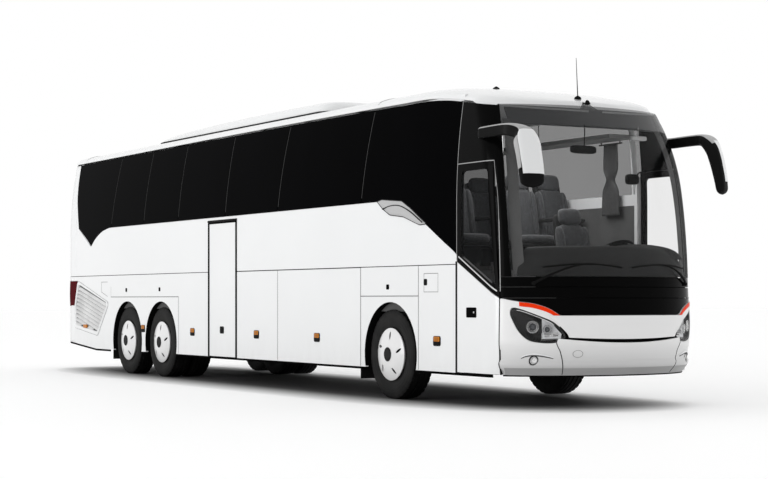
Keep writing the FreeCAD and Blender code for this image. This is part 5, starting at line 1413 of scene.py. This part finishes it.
def buildWheel(place, word, side, twin):
    # tyre or twin tyres, a steel rim closed by a white domed cover with slots, and a dark hub disc
    name = f"{place}{word}"
    body = f"wheel_{place}_{word.lower()}"
    low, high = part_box(f"tyre_{place}_{word.lower()}")
    half = wheel["tyreHalf"]
    centre = np.array([(low.x + high.x) / 2, (low.y if side < 0 else high.y) - side * half, wheel["radius"]])
    tyres = [tyrePart(centre, side)]
    if twin:
        tyres.append(tyrePart(centre - np.array([0, side * wheel["twin"], 0]), side))
    tyre = makePiece("tyre" + name, tyres, body, ("tyre", "tread"), sharp=40)
    reach = np.array([math.hypot(p.center.x - centre[0], p.center.z - centre[2]) for p in tyre.data.polygons])
    tyre.data.polygons.foreach_set("material_index", (reach > wheel["radius"] - 0.022).astype(np.int32))
    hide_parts(f"tyre_{place}_{word.lower()}")
    edge = half - 0.008
    inner = 0.014 - half - (wheel["twin"] if twin else 0.0)
    bore = 0.2855
    rim = [(edge, 0.303), (edge + 0.004, 0.299), (edge - 0.004, bore), (edge - 0.05, bore - 0.004),
           (inner + 0.05, bore - 0.004),
           (inner + 0.004, bore), (inner, 0.303), (inner - 0.004, 0.299), (inner, bore - 0.010),
           (inner + 0.05, bore - 0.016),
           (edge - 0.055, bore - 0.016), (edge - 0.060, 0.20), (edge - 0.075, 0.13), (inner + 0.06, 0.13),
           (inner + 0.06, 0.0), (edge - 0.05, 0.0), (edge - 0.045, 0.20), (edge - 0.03, bore - 0.012),
           (edge - 0.004, bore - 0.010)]
    steel = makePiece("rim" + name, [turnedPart(rim, centre, 72, side)], body, "rimWhite")
    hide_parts(f"rim_{place}_{word.lower()}")
    share = span(1, 0, 22)
    radius = lerp(wheel["hubRadius"] * 0.98, wheel["coverRadius"], share)
    domed = edge + 0.006 + wheel["dome"] * np.cos(share * math.pi / 2)**0.9 * 0.86
    hub = [(domed[-1], radius[-1]), (domed[-1] + 0.003, 0.080), (domed[-1] + 0.003, 0.0)]
    outside = [(y, r) for y, r in zip(domed, radius)] + hub
    back = [(y - 0.006, r) for y, r in outside[::-1]]
    cover = makePiece("cover" + name, [turnedPart(back + outside, centre, 90, side)], body, "rimWhite",
                      sharp=50)
    angles = [2 * math.pi * k / wheel["slots"] + wheel["phase"] for k in range(wheel["slots"])]
    cutOut(cover, [almond(centre, side, a, edge - 0.02, edge + 0.09) for a in angles])
    cover.data.set_sharp_from_angle(angle=math.radians(40))
    dish = turnedPart([(edge - 0.024, 0.0), (edge - 0.024, 0.30), (edge - 0.028, 0.30), (edge - 0.028, 0.0)],
                      centre, 48, side)
    makePiece("coverBack" + name, [dish], body, "seamDark")
    y = domed[-1] + 0.003
    disc = turnedPart([(y, 0.0), (y + 0.004, 0.0), (y + 0.004, 0.070), (y + 0.002, 0.083), (y, 0.083)], centre, 48,
                      side)
    knobs = []
    for k in range(10):
        a = 2 * math.pi * k / 10
        spot = centre + np.array([0.062 * math.sin(a), side * (y + 0.004), 0.062 * math.cos(a)])
        knobs.append(turnedPart([(0.0, 0.0), (0.004, 0.0), (0.004, 0.006), (0.0, 0.008)], spot, 8, side))
    makePiece("hubDisc" + name, [disc, *knobs], body, "hubGrey")


buildArches()
for place in ("front", "drive", "tag"):
    for side, word in sides:
        buildWheel(place, word, side, place == "drive")
print("wheels built")


mirror = {
    "low": 2.29,
    "high": 2.965,
    "rootX": 5.92,
    "headX": 6.940,
    "elbowY": 1.295,
    "headY": 1.255,
    "halfWidth": 0.108,
    "halfDepth": 0.068,
    "rows": ((0.0, -0.050, 0.50, 0.80), (0.12, -0.045, 0.36, 0.86), (0.37, -0.040, 0.33, 0.88),
             (0.575, -0.045, 0.40, 0.90),
             (0.69, -0.080, 0.72, 1.02), (0.775, -0.165, 0.90, 1.10), (0.84, -0.300, 1.0, 1.08),
             (0.90, -0.480, 1.0, 1.0),
             (0.966, -0.763, 1.0, 0.84), (0.995, -0.975, 0.92, 0.70)),
    "turn": {-1: -4.0, 1: 33.0},
    "lead": {-1: 0.44, 1: 0.0},
    "broad": {-1: 1.26, 1: 1.0},
    "shellAngles": {-1: (28.0, 160.0), 1: (16.0, 104.0)},
    "capShare": 0.90,
}


def mirrorSkin(u, angle, side, out=0.0):
    # a squared-off round section at u along the arm and head; angle 90 is the outer side of the bend
    rows = np.array(mirror["rows"])
    places = np.linspace(0, 1, len(rows))
    run, drop, wide, deep = (smoothTable(u, places, rows[:, k]) for k in range(4))
    forward = mirror["lead"][side] * smoothStep((u - 0.36) / 0.2)
    run = run + (1 - run) * forward
    wide = wide * lerp(1.0, mirror["broad"][side], smoothStep((u - 0.5) / 0.15))
    bow = np.clip((run - 0.7) / 0.3, 0, 1)
    x = lerp(mirror["rootX"], mirror["headX"], run)
    z = mirror["high"] + (mirror["high"] - mirror["low"]) * drop
    root = np.clip(1 - u / 0.11, 0, 1)
    y = lerp(mirror["elbowY"], mirror["headY"], bow) - root * 0.08
    step = 0.004
    runA, dropA = (smoothTable(np.clip(u - step, 0, 1), places, rows[:, k]) for k in range(2))
    runB, dropB = (smoothTable(np.clip(u + step, 0, 1), places, rows[:, k]) for k in range(2))
    dx = (runB - runA) * (mirror["headX"] - mirror["rootX"])
    dz = (dropB - dropA) * (mirror["high"] - mirror["low"])
    size = np.hypot(dx, dz)
    liftX, liftZ = -dz / size, dx / size
    a = np.radians(angle)
    c, s = (np.sign(t) * np.abs(t)**0.62 for t in (np.cos(a), np.sin(a)))
    high = s * (deep * mirror["halfDepth"] + out)
    turn = np.radians(mirror["turn"][side]) * smoothStep((u - 0.42) / 0.25)
    ox, oy = liftX * high, side * c * (wide * mirror["halfWidth"] + out)
    return spots(x + ox * np.cos(turn) - oy * np.sin(turn), side * y + ox * np.sin(turn) + oy * np.cos(turn),
                 z + liftZ * high)


def buildMirrors():
    # black arm and housing, a light cover on the arm, a white shell in front, and glass behind
    for side, word in sides:
        u = np.concatenate([span(0.0, 0.95, 70), 0.95 + 0.05 * np.sin(span(0, math.pi / 2, 8)[1:])])[:, None]
        a = span(0, 360, 49)[:-1][None]
        close = np.sqrt(np.clip(1 - ((u - 0.95) / 0.05).clip(0)**2, 0.02, 1))
        shellGrid = mirrorSkin(u, a, side)
        middle = shellGrid.mean(1, keepdims=True)
        shellGrid = middle + (shellGrid - middle) * close[..., None]
        ends = np.concatenate([shellGrid[:1].mean(1, keepdims=True).repeat(48, 1), shellGrid,
                               shellGrid[-1:].mean(1, keepdims=True).repeat(48, 1)])
        body = makePiece("mirrorHousing" + word, [gridPart(ends, closeV=True)], "coach", "blackPlastic")
        if side < 0:
            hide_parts("mirrors")
        a0, a1 = mirror["shellAngles"][side]
        u = span(0.55, mirror["capShare"], 46)[:, None]
        t = span(0, 1, 25)[None]
        taper = 0.5 * (1 - smoothStep((u - 0.50) / 0.10))
        lower = 6 * smoothStep((u - 0.80) / 0.07)
        angle = lerp(a0 + (90 - a0) * taper + lower, a1 - (a1 - 90) * taper - lower, t)
        white = gridPart(mirrorSkin(u, angle, side, 0.0045), away=(6.3, side * 1.26, 2.4))
        thicken(makePiece("mirrorShell" + word, [white], "coach", "white"), 0.004, 0.0015)
        u = span(0.06, 0.58, 40)[:, None]
        angle = lerp(38, 142, t)
        light = gridPart(mirrorSkin(u, angle, side, 0.003), away=(6.3, side * 1.26, 2.4))
        thicken(makePiece("mirrorArmCover" + word, [light], "coach", "armGrey"), 0.003, 0.001)
        flank = gridPart(mirrorSkin(span(0.60, 0.86, 30)[:, None], lerp(-22, 24, span(0, 1, 9)[None]), side, 0.002),
                         away=(6.9, side * 1.0, 2.6))
        if side < 0:
            thicken(makePiece("mirrorFlank" + word, [flank], "coach", "armGrey"), 0.002, 0)
        glassU = span(0.66, 0.95, 20)[:, None]
        glass = mirrorSkin(glassU, lerp(-64, -116, span(0, 1, 9)[None]), side, 0.002)
        makePiece("mirrorGlass" + word, [gridPart(glass, away=(7.2, side * 1.25, 2.6))], "coach", "chrome")


buildMirrors()


roofFittings = {
    "antenna": ((5.985, 0.0, 3.385), (5.955, 0.0, 3.83), 0.006),
    "puck": ((5.11, -0.5, 3.545), 0.045),
    "fin": ((6.17, 0.0, 3.292), 0.10, 0.055),
    "hatches": (-5.1, 3.05),
    "seams": (3.58, -6.30),
}


def buildRoofFittings():
    # whip antenna on a black foot, a round aerial, a small fin over the windscreen and two hatches
    low, high, thin = roofFittings["antenna"]
    t = span(0, 1, 12)
    whip = tubePart(np.outer(1 - t, low) + np.outer(t, high), lerp(thin, thin * 0.45, t), 8, up=(1, 0, 0))
    foot = [(0.0, 0.0), (0.0, 0.042), (0.020, 0.034), (0.034, 0.012), (0.040, 0.0)]
    angle = fullTurn(24)[None]
    f = np.array(foot)

    def upright(centre, scale):
        rings = f * scale
        return gridPart(np.stack([centre[0] + rings[:, 1:] * np.cos(angle),
                                  centre[1] + rings[:, 1:] * np.sin(angle),
                                  centre[2] - 0.012 + rings[:, :1] + 0 * angle], -1), closeV=True)

    puck, size = roofFittings["puck"]
    makePiece("antenna", [whip, upright(low, 1.0)], "coach", "blackPlastic")
    makePiece("roofAerial", [upright(puck, size / 0.042)], "coach", "blackPlastic")
    (x, y, z), long, tall = roofFittings["fin"]
    u = span(0, 1, 16)[:, None]
    wide = 0.018 * np.sin(np.pi * u)**0.6
    crest = z + tall * np.sin(np.pi * u**0.7)
    ring = fullTurn(12)[None]
    fin = spots(x + long * (u - 0.5), y + wide * np.cos(ring), lerp(z, crest, 0.5 + 0.5 * np.sin(ring)))
    makePiece("roofFin", [gridPart(fin, closeV=True)], "coach", "blackPlastic")
    hatches = []
    cap = lambda p, q, out=0.0: spots(p, q, roofHeight(p, q) + out)
    for x in roofFittings["hatches"]:
        loop = roundedLoop([(x - 0.36, -0.32), (x + 0.36, -0.32), (x + 0.36, 0.32), (x - 0.36, 0.32)], 0.06, 16)
        hatches.append(discOn(cap, loop, 8, lambda s: 0.030 - 0.024 * s**8, away=(x, 0, 0)))
        hatches.append(wallOn(cap, loop, 0.006, -0.01, (x, 0, 3.5)))
    makePiece("roofHatches", hatches, "coach", "white")
    seams = []
    for x in roofFittings["seams"]:
        y = span(-1.165, 1.165, 80)
        seams.append(tubePart(np.stack([x + 0 * y, y, roofHeight(x + 0 * y, y) + 0.0005], -1), 0.0035, 6,
                              up=(1, 0, 0)))
    makePiece("roofSeams", seams, "coach", "seamGrey")


buildRoofFittings()
print("mirrors and roof fittings built")


cab = {
    "wheelCentre": (5.91, 0.56, 1.69),
    "wheelTilt": 32.0,
    "wheelRadius": 0.225,
    "grip": 0.016,
    "shelf": ((-0.035, 1.405), (-0.06, 1.50), (-0.13, 1.62), (-0.22, 1.70), (-0.30, 1.715), (-0.38, 1.69),
              (-0.42, 1.60),
              (-0.43, 1.20)),
    "hood": ((6.02, 1.66), (6.05, 1.745), (6.12, 1.775), (6.30, 1.765), (6.50, 1.72), (6.56, 1.60)),
    "hoodSpan": (0.16, 1.02),
    "pillar": ((1.42, 1.7, 2.2, 2.7, 3.1), (60.0, 61.0, 60.5, 58.5, 55.5)),
    "seatRows": 13,
    "seatPitch": 0.83,
    "seatFirst": 4.42,
    "seatSides": (0.455, 0.915),
    "doorSpan": (-1.531, 0.428),
    "floor": 1.50,
    "cabFloor": 1.02,
}


def leant(part, foot, slope):
    # shears a part backwards above a height
    verts = part[0].copy()
    verts[:, 0] -= slope * np.maximum(verts[:, 2] - foot, 0.0)
    return verts, part[1]


def seatPads(x, y, floor):
    # crowned cushion, back in two side wings and a middle channel, and a headrest
    back = x - 0.23
    pads = [slabPart((back + 0.07, y - 0.21, floor + 0.315), (x + 0.235, y + 0.21, floor + 0.43), 4.5, 25, 13)]
    pads.append(leant(slabPart((back + 0.01, y - 0.17, floor + 0.37), (back + 0.115, y + 0.17, floor + 1.0), 5.0),
                      floor + 0.31, 0.195))
    for side in (-1, 1):
        edge = sorted((y + side * 0.215, y + side * 0.135))
        pads.append(leant(slabPart((back + 0.015, edge[0], floor + 0.36), (back + 0.145, edge[1], floor + 0.97),
                                   3.5, 17, 11),
                          floor + 0.31, 0.195))
    pads.append(leant(slabPart((back + 0.005, y - 0.145, floor + 0.985), (back + 0.125, y + 0.145, floor + 1.18),
                               3.6),
                      floor + 0.31, 0.195))
    return pads


def seatShell(x, y, floor):
    # moulded back shell, pan, foot and armrest
    back = x - 0.23
    parts = [leant(slabPart((back - 0.012, y - 0.205, floor + 0.30), (back + 0.03, y + 0.205, floor + 1.12), 7.0,
                            13, 9),
                   floor + 0.31, 0.195)]
    parts.append(slabPart((back + 0.01, y - 0.20, floor + 0.285), (x + 0.22, y + 0.20, floor + 0.335), 8.0, 13, 7))
    parts.append(slabPart((x - 0.085, y - 0.16, floor + 0.001), (x + 0.085, y + 0.16, floor + 0.30), 10.0, 13, 7))
    parts.append(slabPart((x - 0.20, y + 0.205, floor + 0.585), (x + 0.14, y + 0.235, floor + 0.635), 5.0, 13, 7))
    return parts


def buildSeats():
    # pairs in rows on both sides, none beside the middle door, and the driver's seat
    pads, shells = [], []
    for k in range(cab["seatRows"]):
        x = cab["seatFirst"] - cab["seatPitch"] * k
        for side in (-1, 1):
            if side < 0 and cab["doorSpan"][0] < x < cab["doorSpan"][1]:
                continue
            for y in cab["seatSides"]:
                pads += seatPads(x, side * y, cab["floor"])
                shells += seatShell(x, side * y, cab["floor"])
    piece = makePiece("passengerSeats", pads, "coach", "cloth", sharp=60)
    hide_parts("seats")
    makePiece("seatShells", shells, "coach", "dash", sharp=60)
    driver = makePiece("driverSeat", seatPads(5.36, 0.56, cab["cabFloor"] + 0.02), "coach", "cloth",
                       sharp=60)
    makePiece("driverSeatShell", seatShell(5.36, 0.56, cab["cabFloor"] + 0.02), "coach", "dash",
              sharp=60)


def buildSteeringWheel():
    # rim, three flat spokes and a padded hub, tilted towards the driver
    centre = np.array(cab["wheelCentre"])
    tilt = math.radians(cab["wheelTilt"])
    axis = np.array([-math.sin(tilt), 0.0, math.cos(tilt)])
    fore = np.array([math.cos(tilt), 0.0, math.sin(tilt)])
    left = np.array([0.0, 1.0, 0.0])
    u = fullTurn(72)[:, None, None]
    v = fullTurn(16)[None, :, None]
    out = fore * np.cos(u) + left * np.sin(u)
    swell = 1 + 0.04 * np.cos(18 * u)
    rim = (centre + out * (cab["wheelRadius"] + cab["grip"] * swell * np.cos(v))
           + axis * (cab["grip"] * swell * np.sin(v)))
    parts = [gridPart(rim, closeU=True, closeV=True)]
    for angle in (0, 120, 240):
        a = math.radians(angle)
        way = fore * math.cos(a) + left * math.sin(a)
        t = span(0.035, cab["wheelRadius"] - 0.006, 12)
        path = centre + np.outer(t, way) - np.outer(0.012 * np.sin(np.pi * t / 0.225), axis)
        parts.append(tubePart(path, lerp(0.020, 0.013, t / 0.225), 12, up=axis, stretch=(1.0, 0.42)))
    r = np.array([0.0, 0.052, 0.060, 0.058, 0.040, 0.0])
    h = np.array([-0.034, -0.034, -0.020, 0.004, 0.016, 0.018])
    ring = fullTurn(36)[None, :, None]
    hub = centre + (fore * np.cos(ring) + left * np.sin(ring)) * r[:, None, None] + axis * h[:, None, None]
    parts.append(gridPart(hub, closeV=True))
    piece = makePiece("steeringWheelGrip", parts, "steering_wheel", "blackPlastic")
    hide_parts("steering_wheel")


def angleAt(y, z):
    # the nose's angle at a place across the front
    return np.degrees(np.arcsin(np.clip(y / halfWidth(z), -1, 1)))


def buildWipers():
    # a blade with its spring rail lying over the foot of the windscreen, and a tapering arm from each pivot
    parts = []
    for (y0, y1), pivotY in (((-0.93, -0.08), -1.01), ((0.06, 0.92), 0.96)):
        y = span(y0, y1, 40)
        z = 1.50 + 0.035 * np.sin(np.pi * (y - y0) / (y1 - y0))
        parts.append(tubePart(noseSkin(angleAt(y, z), z, 0.010), 0.006, 8, stretch=(0.6, 1.5)))
        parts.append(tubePart(noseSkin(angleAt(y, z), z, 0.020), 0.007 * np.sin(np.pi * span(0.06, 0.94, 40))**0.5,
                              8))
        middle = (y0 + y1) / 2
        t = span(0, 1, 30)
        armY = lerp(pivotY, middle, t)
        armZ = lerp(1.33, 1.533, 1 - (1 - t)**1.6)
        armOut = 0.016 + 0.022 * np.sin(np.pi * np.clip(t * 1.05, 0, 1))**0.8
        parts.append(tubePart(noseSkin(angleAt(armY, armZ), armZ, armOut), lerp(0.016, 0.008, t), 10,
                              stretch=(0.8, 1.0)))
        cap = noseSkin(angleAt(pivotY, 1.33), 1.33, 0.0)
        out = noseSkin(angleAt(pivotY, 1.33), 1.33, 0.03) - cap
        parts.append(tubePart(cap + np.outer(np.array([-0.2, 0.3, 0.9, 1.1]), out),
                              np.array([0.022, 0.022, 0.020, 0.012]), 20))
    piece = makePiece("wiperArms", parts, "coach", "blackPlastic")
    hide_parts("wipers")


def buildCab():
    # shelf behind the windscreen's foot, instrument hood, screen, blind, pillar trims, curtain and inner mirror
    q = np.array(cab["shelf"])
    t = span(0, len(q) - 1, 40)
    out = smoothTable(t, np.arange(len(q)), q[:, 0])[None]
    z = smoothTable(t, np.arange(len(q)), q[:, 1])[None]
    angle = span(-65, 65, 81)[:, None]
    crown = 0.02 * np.cos(np.radians(angle * 1.3))
    shelf = gridPart(noseSkin(angle + 0 * z, 1.40 + 0 * angle + 0 * z, out), away=(9.0, 0, 0.0))
    shelf[0][:, 2] = (z + crown * (z > 1.5)).reshape(-1)
    makePiece("dashShelf", [shelf], "coach", "dash", sharp=60)
    h = np.array(cab["hood"])
    s = span(0, len(h) - 1, 36)
    x, top = (smoothTable(s, np.arange(len(h)), h[:, k])[:, None] for k in range(2))
    y = lerp(*cab["hoodSpan"], span(0, 1, 41))[None]
    share = (y - cab["hoodSpan"][0]) / (cab["hoodSpan"][1] - cab["hoodSpan"][0]) * 2 - 1
    lower = 1.60 + (top - 1.60) * (1 - np.abs(share)**5)**0.5
    hood = gridPart(spots(x, y, lower), away=(6.3, 0.6, 1.2))
    makePiece("instrumentHood", [hood], "coach", "dash", sharp=60)
    walls = []
    for side, x0, x1 in ((1, -6.35, 5.45), (-1, -0.10, 5.40), (-1, -6.35, -1.17)):
        p, q = span(x0, x1, 60)[:, None], span(1.02, 2.29, 8)[None]
        walls.append(gridPart(sideSkin(p, q, side, -0.081), away=(0, side * 3.0, 1.6)))
    makePiece("wallLining", walls, "coach", "lining")
    monitor = slabPart((6.27, 0.215, 1.60), (6.31, 0.45, 1.79), 9.0)
    stem = tubePart([(6.29, 0.33, 1.56), (6.29, 0.33, 1.66)], 0.02, 12, up=(1, 0, 0))
    makePiece("dashMonitor", [monitor, stem], "coach", "blackPlastic")
    face = gridPart(spots(6.268, span(0.23, 0.435, 5)[:, None], span(1.615, 1.775, 5)[None]), away=(6.4, 0.33, 1.7))
    makePiece("monitorFace", [face], "coach", "screenDark")
    for side, word in sides:
        rows = span(1.42, 3.10, 30)[None]
        inner = smoothTable(rows, *cab["pillar"])
        share = span(0, 1, 12)[:, None]
        trim = noseSkin(side * lerp(inner, inner + 8.2, share), rows + 0 * share, -0.05 - 0.03 * (1 - share)**2)
        pillar = makePiece("pillarTrim" + word, [gridPart(trim, away=(6.0, 0, 2.2))], "coach", "lining")
        thicken(pillar, 0.012, 0.002)
    angle = span(-60, 60, 61)[:, None]
    drop = span(0, 1, 12)[None]
    blind = noseSkin(angle + 0 * drop, lerp(3.235, 3.02, drop) + 0.03 * np.sin(np.radians(angle)) ** 2,
                     -0.05 - 0.02 * drop)
    thicken(makePiece("sunBlind", [gridPart(blind, away=(5.6, 0, 3.1))], "coach", "cloth"), 0.006, 0)
    innerMirror = slabPart((6.335, -0.366, 2.735), (6.37, -0.021, 2.825), 4.0)
    rod = tubePart([(6.352, -0.18, 2.81), (6.352, -0.175, 2.92), (6.352, -0.173, 3.06)], 0.006, 8, up=(1, 0, 0))
    makePiece("hangingMirror", [innerMirror, rod], "coach", "blackPlastic")
    lamp = slabPart((6.26, 0.50, 2.915), (6.31, 0.71, 2.965), 6.0)
    arm = tubePart([(6.285, 0.60, 2.955), (6.285, 0.60, 3.07)], 0.008, 8, up=(1, 0, 0))
    makePiece("cabLamp", [lamp, arm], "coach", "trimGrey")
    rest = slabPart((5.60, 0.93, 2.48), (5.68, 1.10, 2.60), 4.0)
    hook = tubePart([(5.64, 1.02, 2.54), (5.64, 1.12, 2.62), (5.64, 1.225, 2.64)], 0.009, 8)
    makePiece("kerbMirror", [rest, hook], "coach", "blackPlastic")
    u, v = span(0, 1, 90)[:, None], span(0, 1, 40)[None]
    tie = 1 - 0.55 * np.exp(-((v - 0.50) / 0.10)**2)
    flare = tie * lerp(0.75, 1.0, v)
    folds = 0.022 * np.sin(u * 2 * math.pi * 8) * lerp(1.0, 1.3, v)
    curtain = spots(5.08 + (u - 0.5) * 0.34 * flare, 1.13 + folds, lerp(2.985, 2.15, v))
    cloth = makePiece("cabCurtain", [gridPart(curtain, away=(5.1, 3.0, 2.6))], "coach", "curtain")
    thicken(cloth, 0.002, 0)
    rail = tubePart([(4.86, 1.13, 2.99), (5.08, 1.13, 2.99), (5.30, 1.13, 2.99)], 0.009, 10)
    stays = [tubePart([(x, 1.13, 2.99), (x, 1.13, 3.03)], 0.008, 8, up=(1, 0, 0)) for x in (4.9, 5.26)]
    makePiece("curtainRail", [rail, *stays], "coach", "steel")


buildCab()
buildSteeringWheel()
buildWipers()
buildSeats()
print("cab and seats built")


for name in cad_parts:
    if name.startswith(("side_wall", "lower_side", "luggage_flap", "middle_door")):
        dress("white", name)
dress("steel", "chassis_frame", "luggage_hold", "front_door_arm", "middle_door_arm")
dress("iron", "engine_block", "front_axle", "drive_axle", "tag_axle", "knuckle_right", "knuckle_left")
dress("floor", "floor_deck", "entrance_steps")
dress("trimGrey", "luggage_racks")
dress("rubberTrim", "mudflaps")
dress("dash", "dashboard")
print("construction dressed")


stage = {
    "camera": (22.0528, -11.6231, 1.1609),
    "yaw": 0.5182,
    "pitch": -0.0021,
    "lens": 83.71,
    "shiftY": 63.69 / 768,
    "world": 1.0,
    "front": 0.72,
    "lights": (("side", (-3.0, -26.0, 5.0), (-2.0, 0.0, 1.8), 12.0, 1300.0),
               ("cabin", (4.9, 0.0, 3.0), (4.9, 0.0, 0.0), 1.4, 30.0)),
    "floorReach": 160.0,
}


def buildStage():
    # white studio: bright floor and sky, soft lights, and the photo's own camera
    floorMesh = bpy.data.meshes.new("floor")
    far = stage["floorReach"]
    floorMesh.from_pydata([(-far, -far, 0), (far, -far, 0), (far, far, 0), (-far, far, 0)], [],
                          [(0, 1, 2, 3)])
    floorObject = bpy.data.objects.new("floor", floorMesh)
    bpy.context.scene.collection.objects.link(floorObject)
    f = Finish("studioFloor")
    # painted shadow: under the coach's footprint the floor's colour falls to dark grey and its glow to nothing
    reach = (f.axis("X") / 7.5)**6 + ((f.axis("Y") + 0.25) / 1.9)**2
    outsidePaintedShadow = f.ramp(reach, 0.25, 1.9)
    f.set(Base_Color=f.blend(outsidePaintedShadow, shade(0.12), f.blend(f.noise(0.5), shade(0.93), shade(0.95))),
          Roughness=0.7,
          Specular_IOR_Level=0.1, Emission_Color=f.blend(outsidePaintedShadow, shade(0.0), shade(1.0)),
          Emission_Strength=0.13)
    floorMesh.materials.append(f.material)
    world = bpy.data.worlds.new("studio")
    world.use_nodes = True
    nodes, links = world.node_tree.nodes, world.node_tree.links
    sky = nodes["Background"]
    sky.inputs["Strength"].default_value = stage["world"]
    where = nodes.new("ShaderNodeSeparateXYZ")
    links.new(nodes.new("ShaderNodeTexCoord").outputs["Generated"], where.inputs[0])
    fade = nodes.new("ShaderNodeValToRGB")
    for stop, place, value in zip(fade.color_ramp.elements, (0.0, 0.55), (1.0, stage["front"])):
        stop.position, stop.color = place, (value, value, value, 1.0)
    links.new(where.outputs["X"], fade.inputs["Fac"])
    links.new(fade.outputs["Color"], sky.inputs["Color"])
    bpy.context.scene.world = world
    bpy.context.scene.view_settings.view_transform = "Standard"
    for name, place, aim, size, power in stage["lights"]:
        light = bpy.data.lights.new(name, "AREA")
        light.energy, light.size = power, size
        lamp = bpy.data.objects.new(name, light)
        lamp.location = place
        lamp.rotation_euler = (Vector(aim) - Vector(place)).to_track_quat("-Z", "Y").to_euler()
        bpy.context.scene.collection.objects.link(lamp)
    camera = bpy.data.cameras.new("camera")
    camera.lens, camera.sensor_width, camera.shift_y = stage["lens"], 36.0, stage["shiftY"]
    camera.clip_end = 400.0
    seat = bpy.data.objects.new("camera", camera)
    forward = Vector((-math.cos(stage["yaw"]) * math.cos(stage["pitch"]),
                      math.sin(stage["yaw"]) * math.cos(stage["pitch"]), math.sin(stage["pitch"])))
    seat.location = stage["camera"]
    seat.rotation_euler = forward.to_track_quat("-Z", "Y").to_euler()
    bpy.context.scene.collection.objects.link(seat)
    bpy.context.scene.camera = seat


buildStage()
print("stage set")
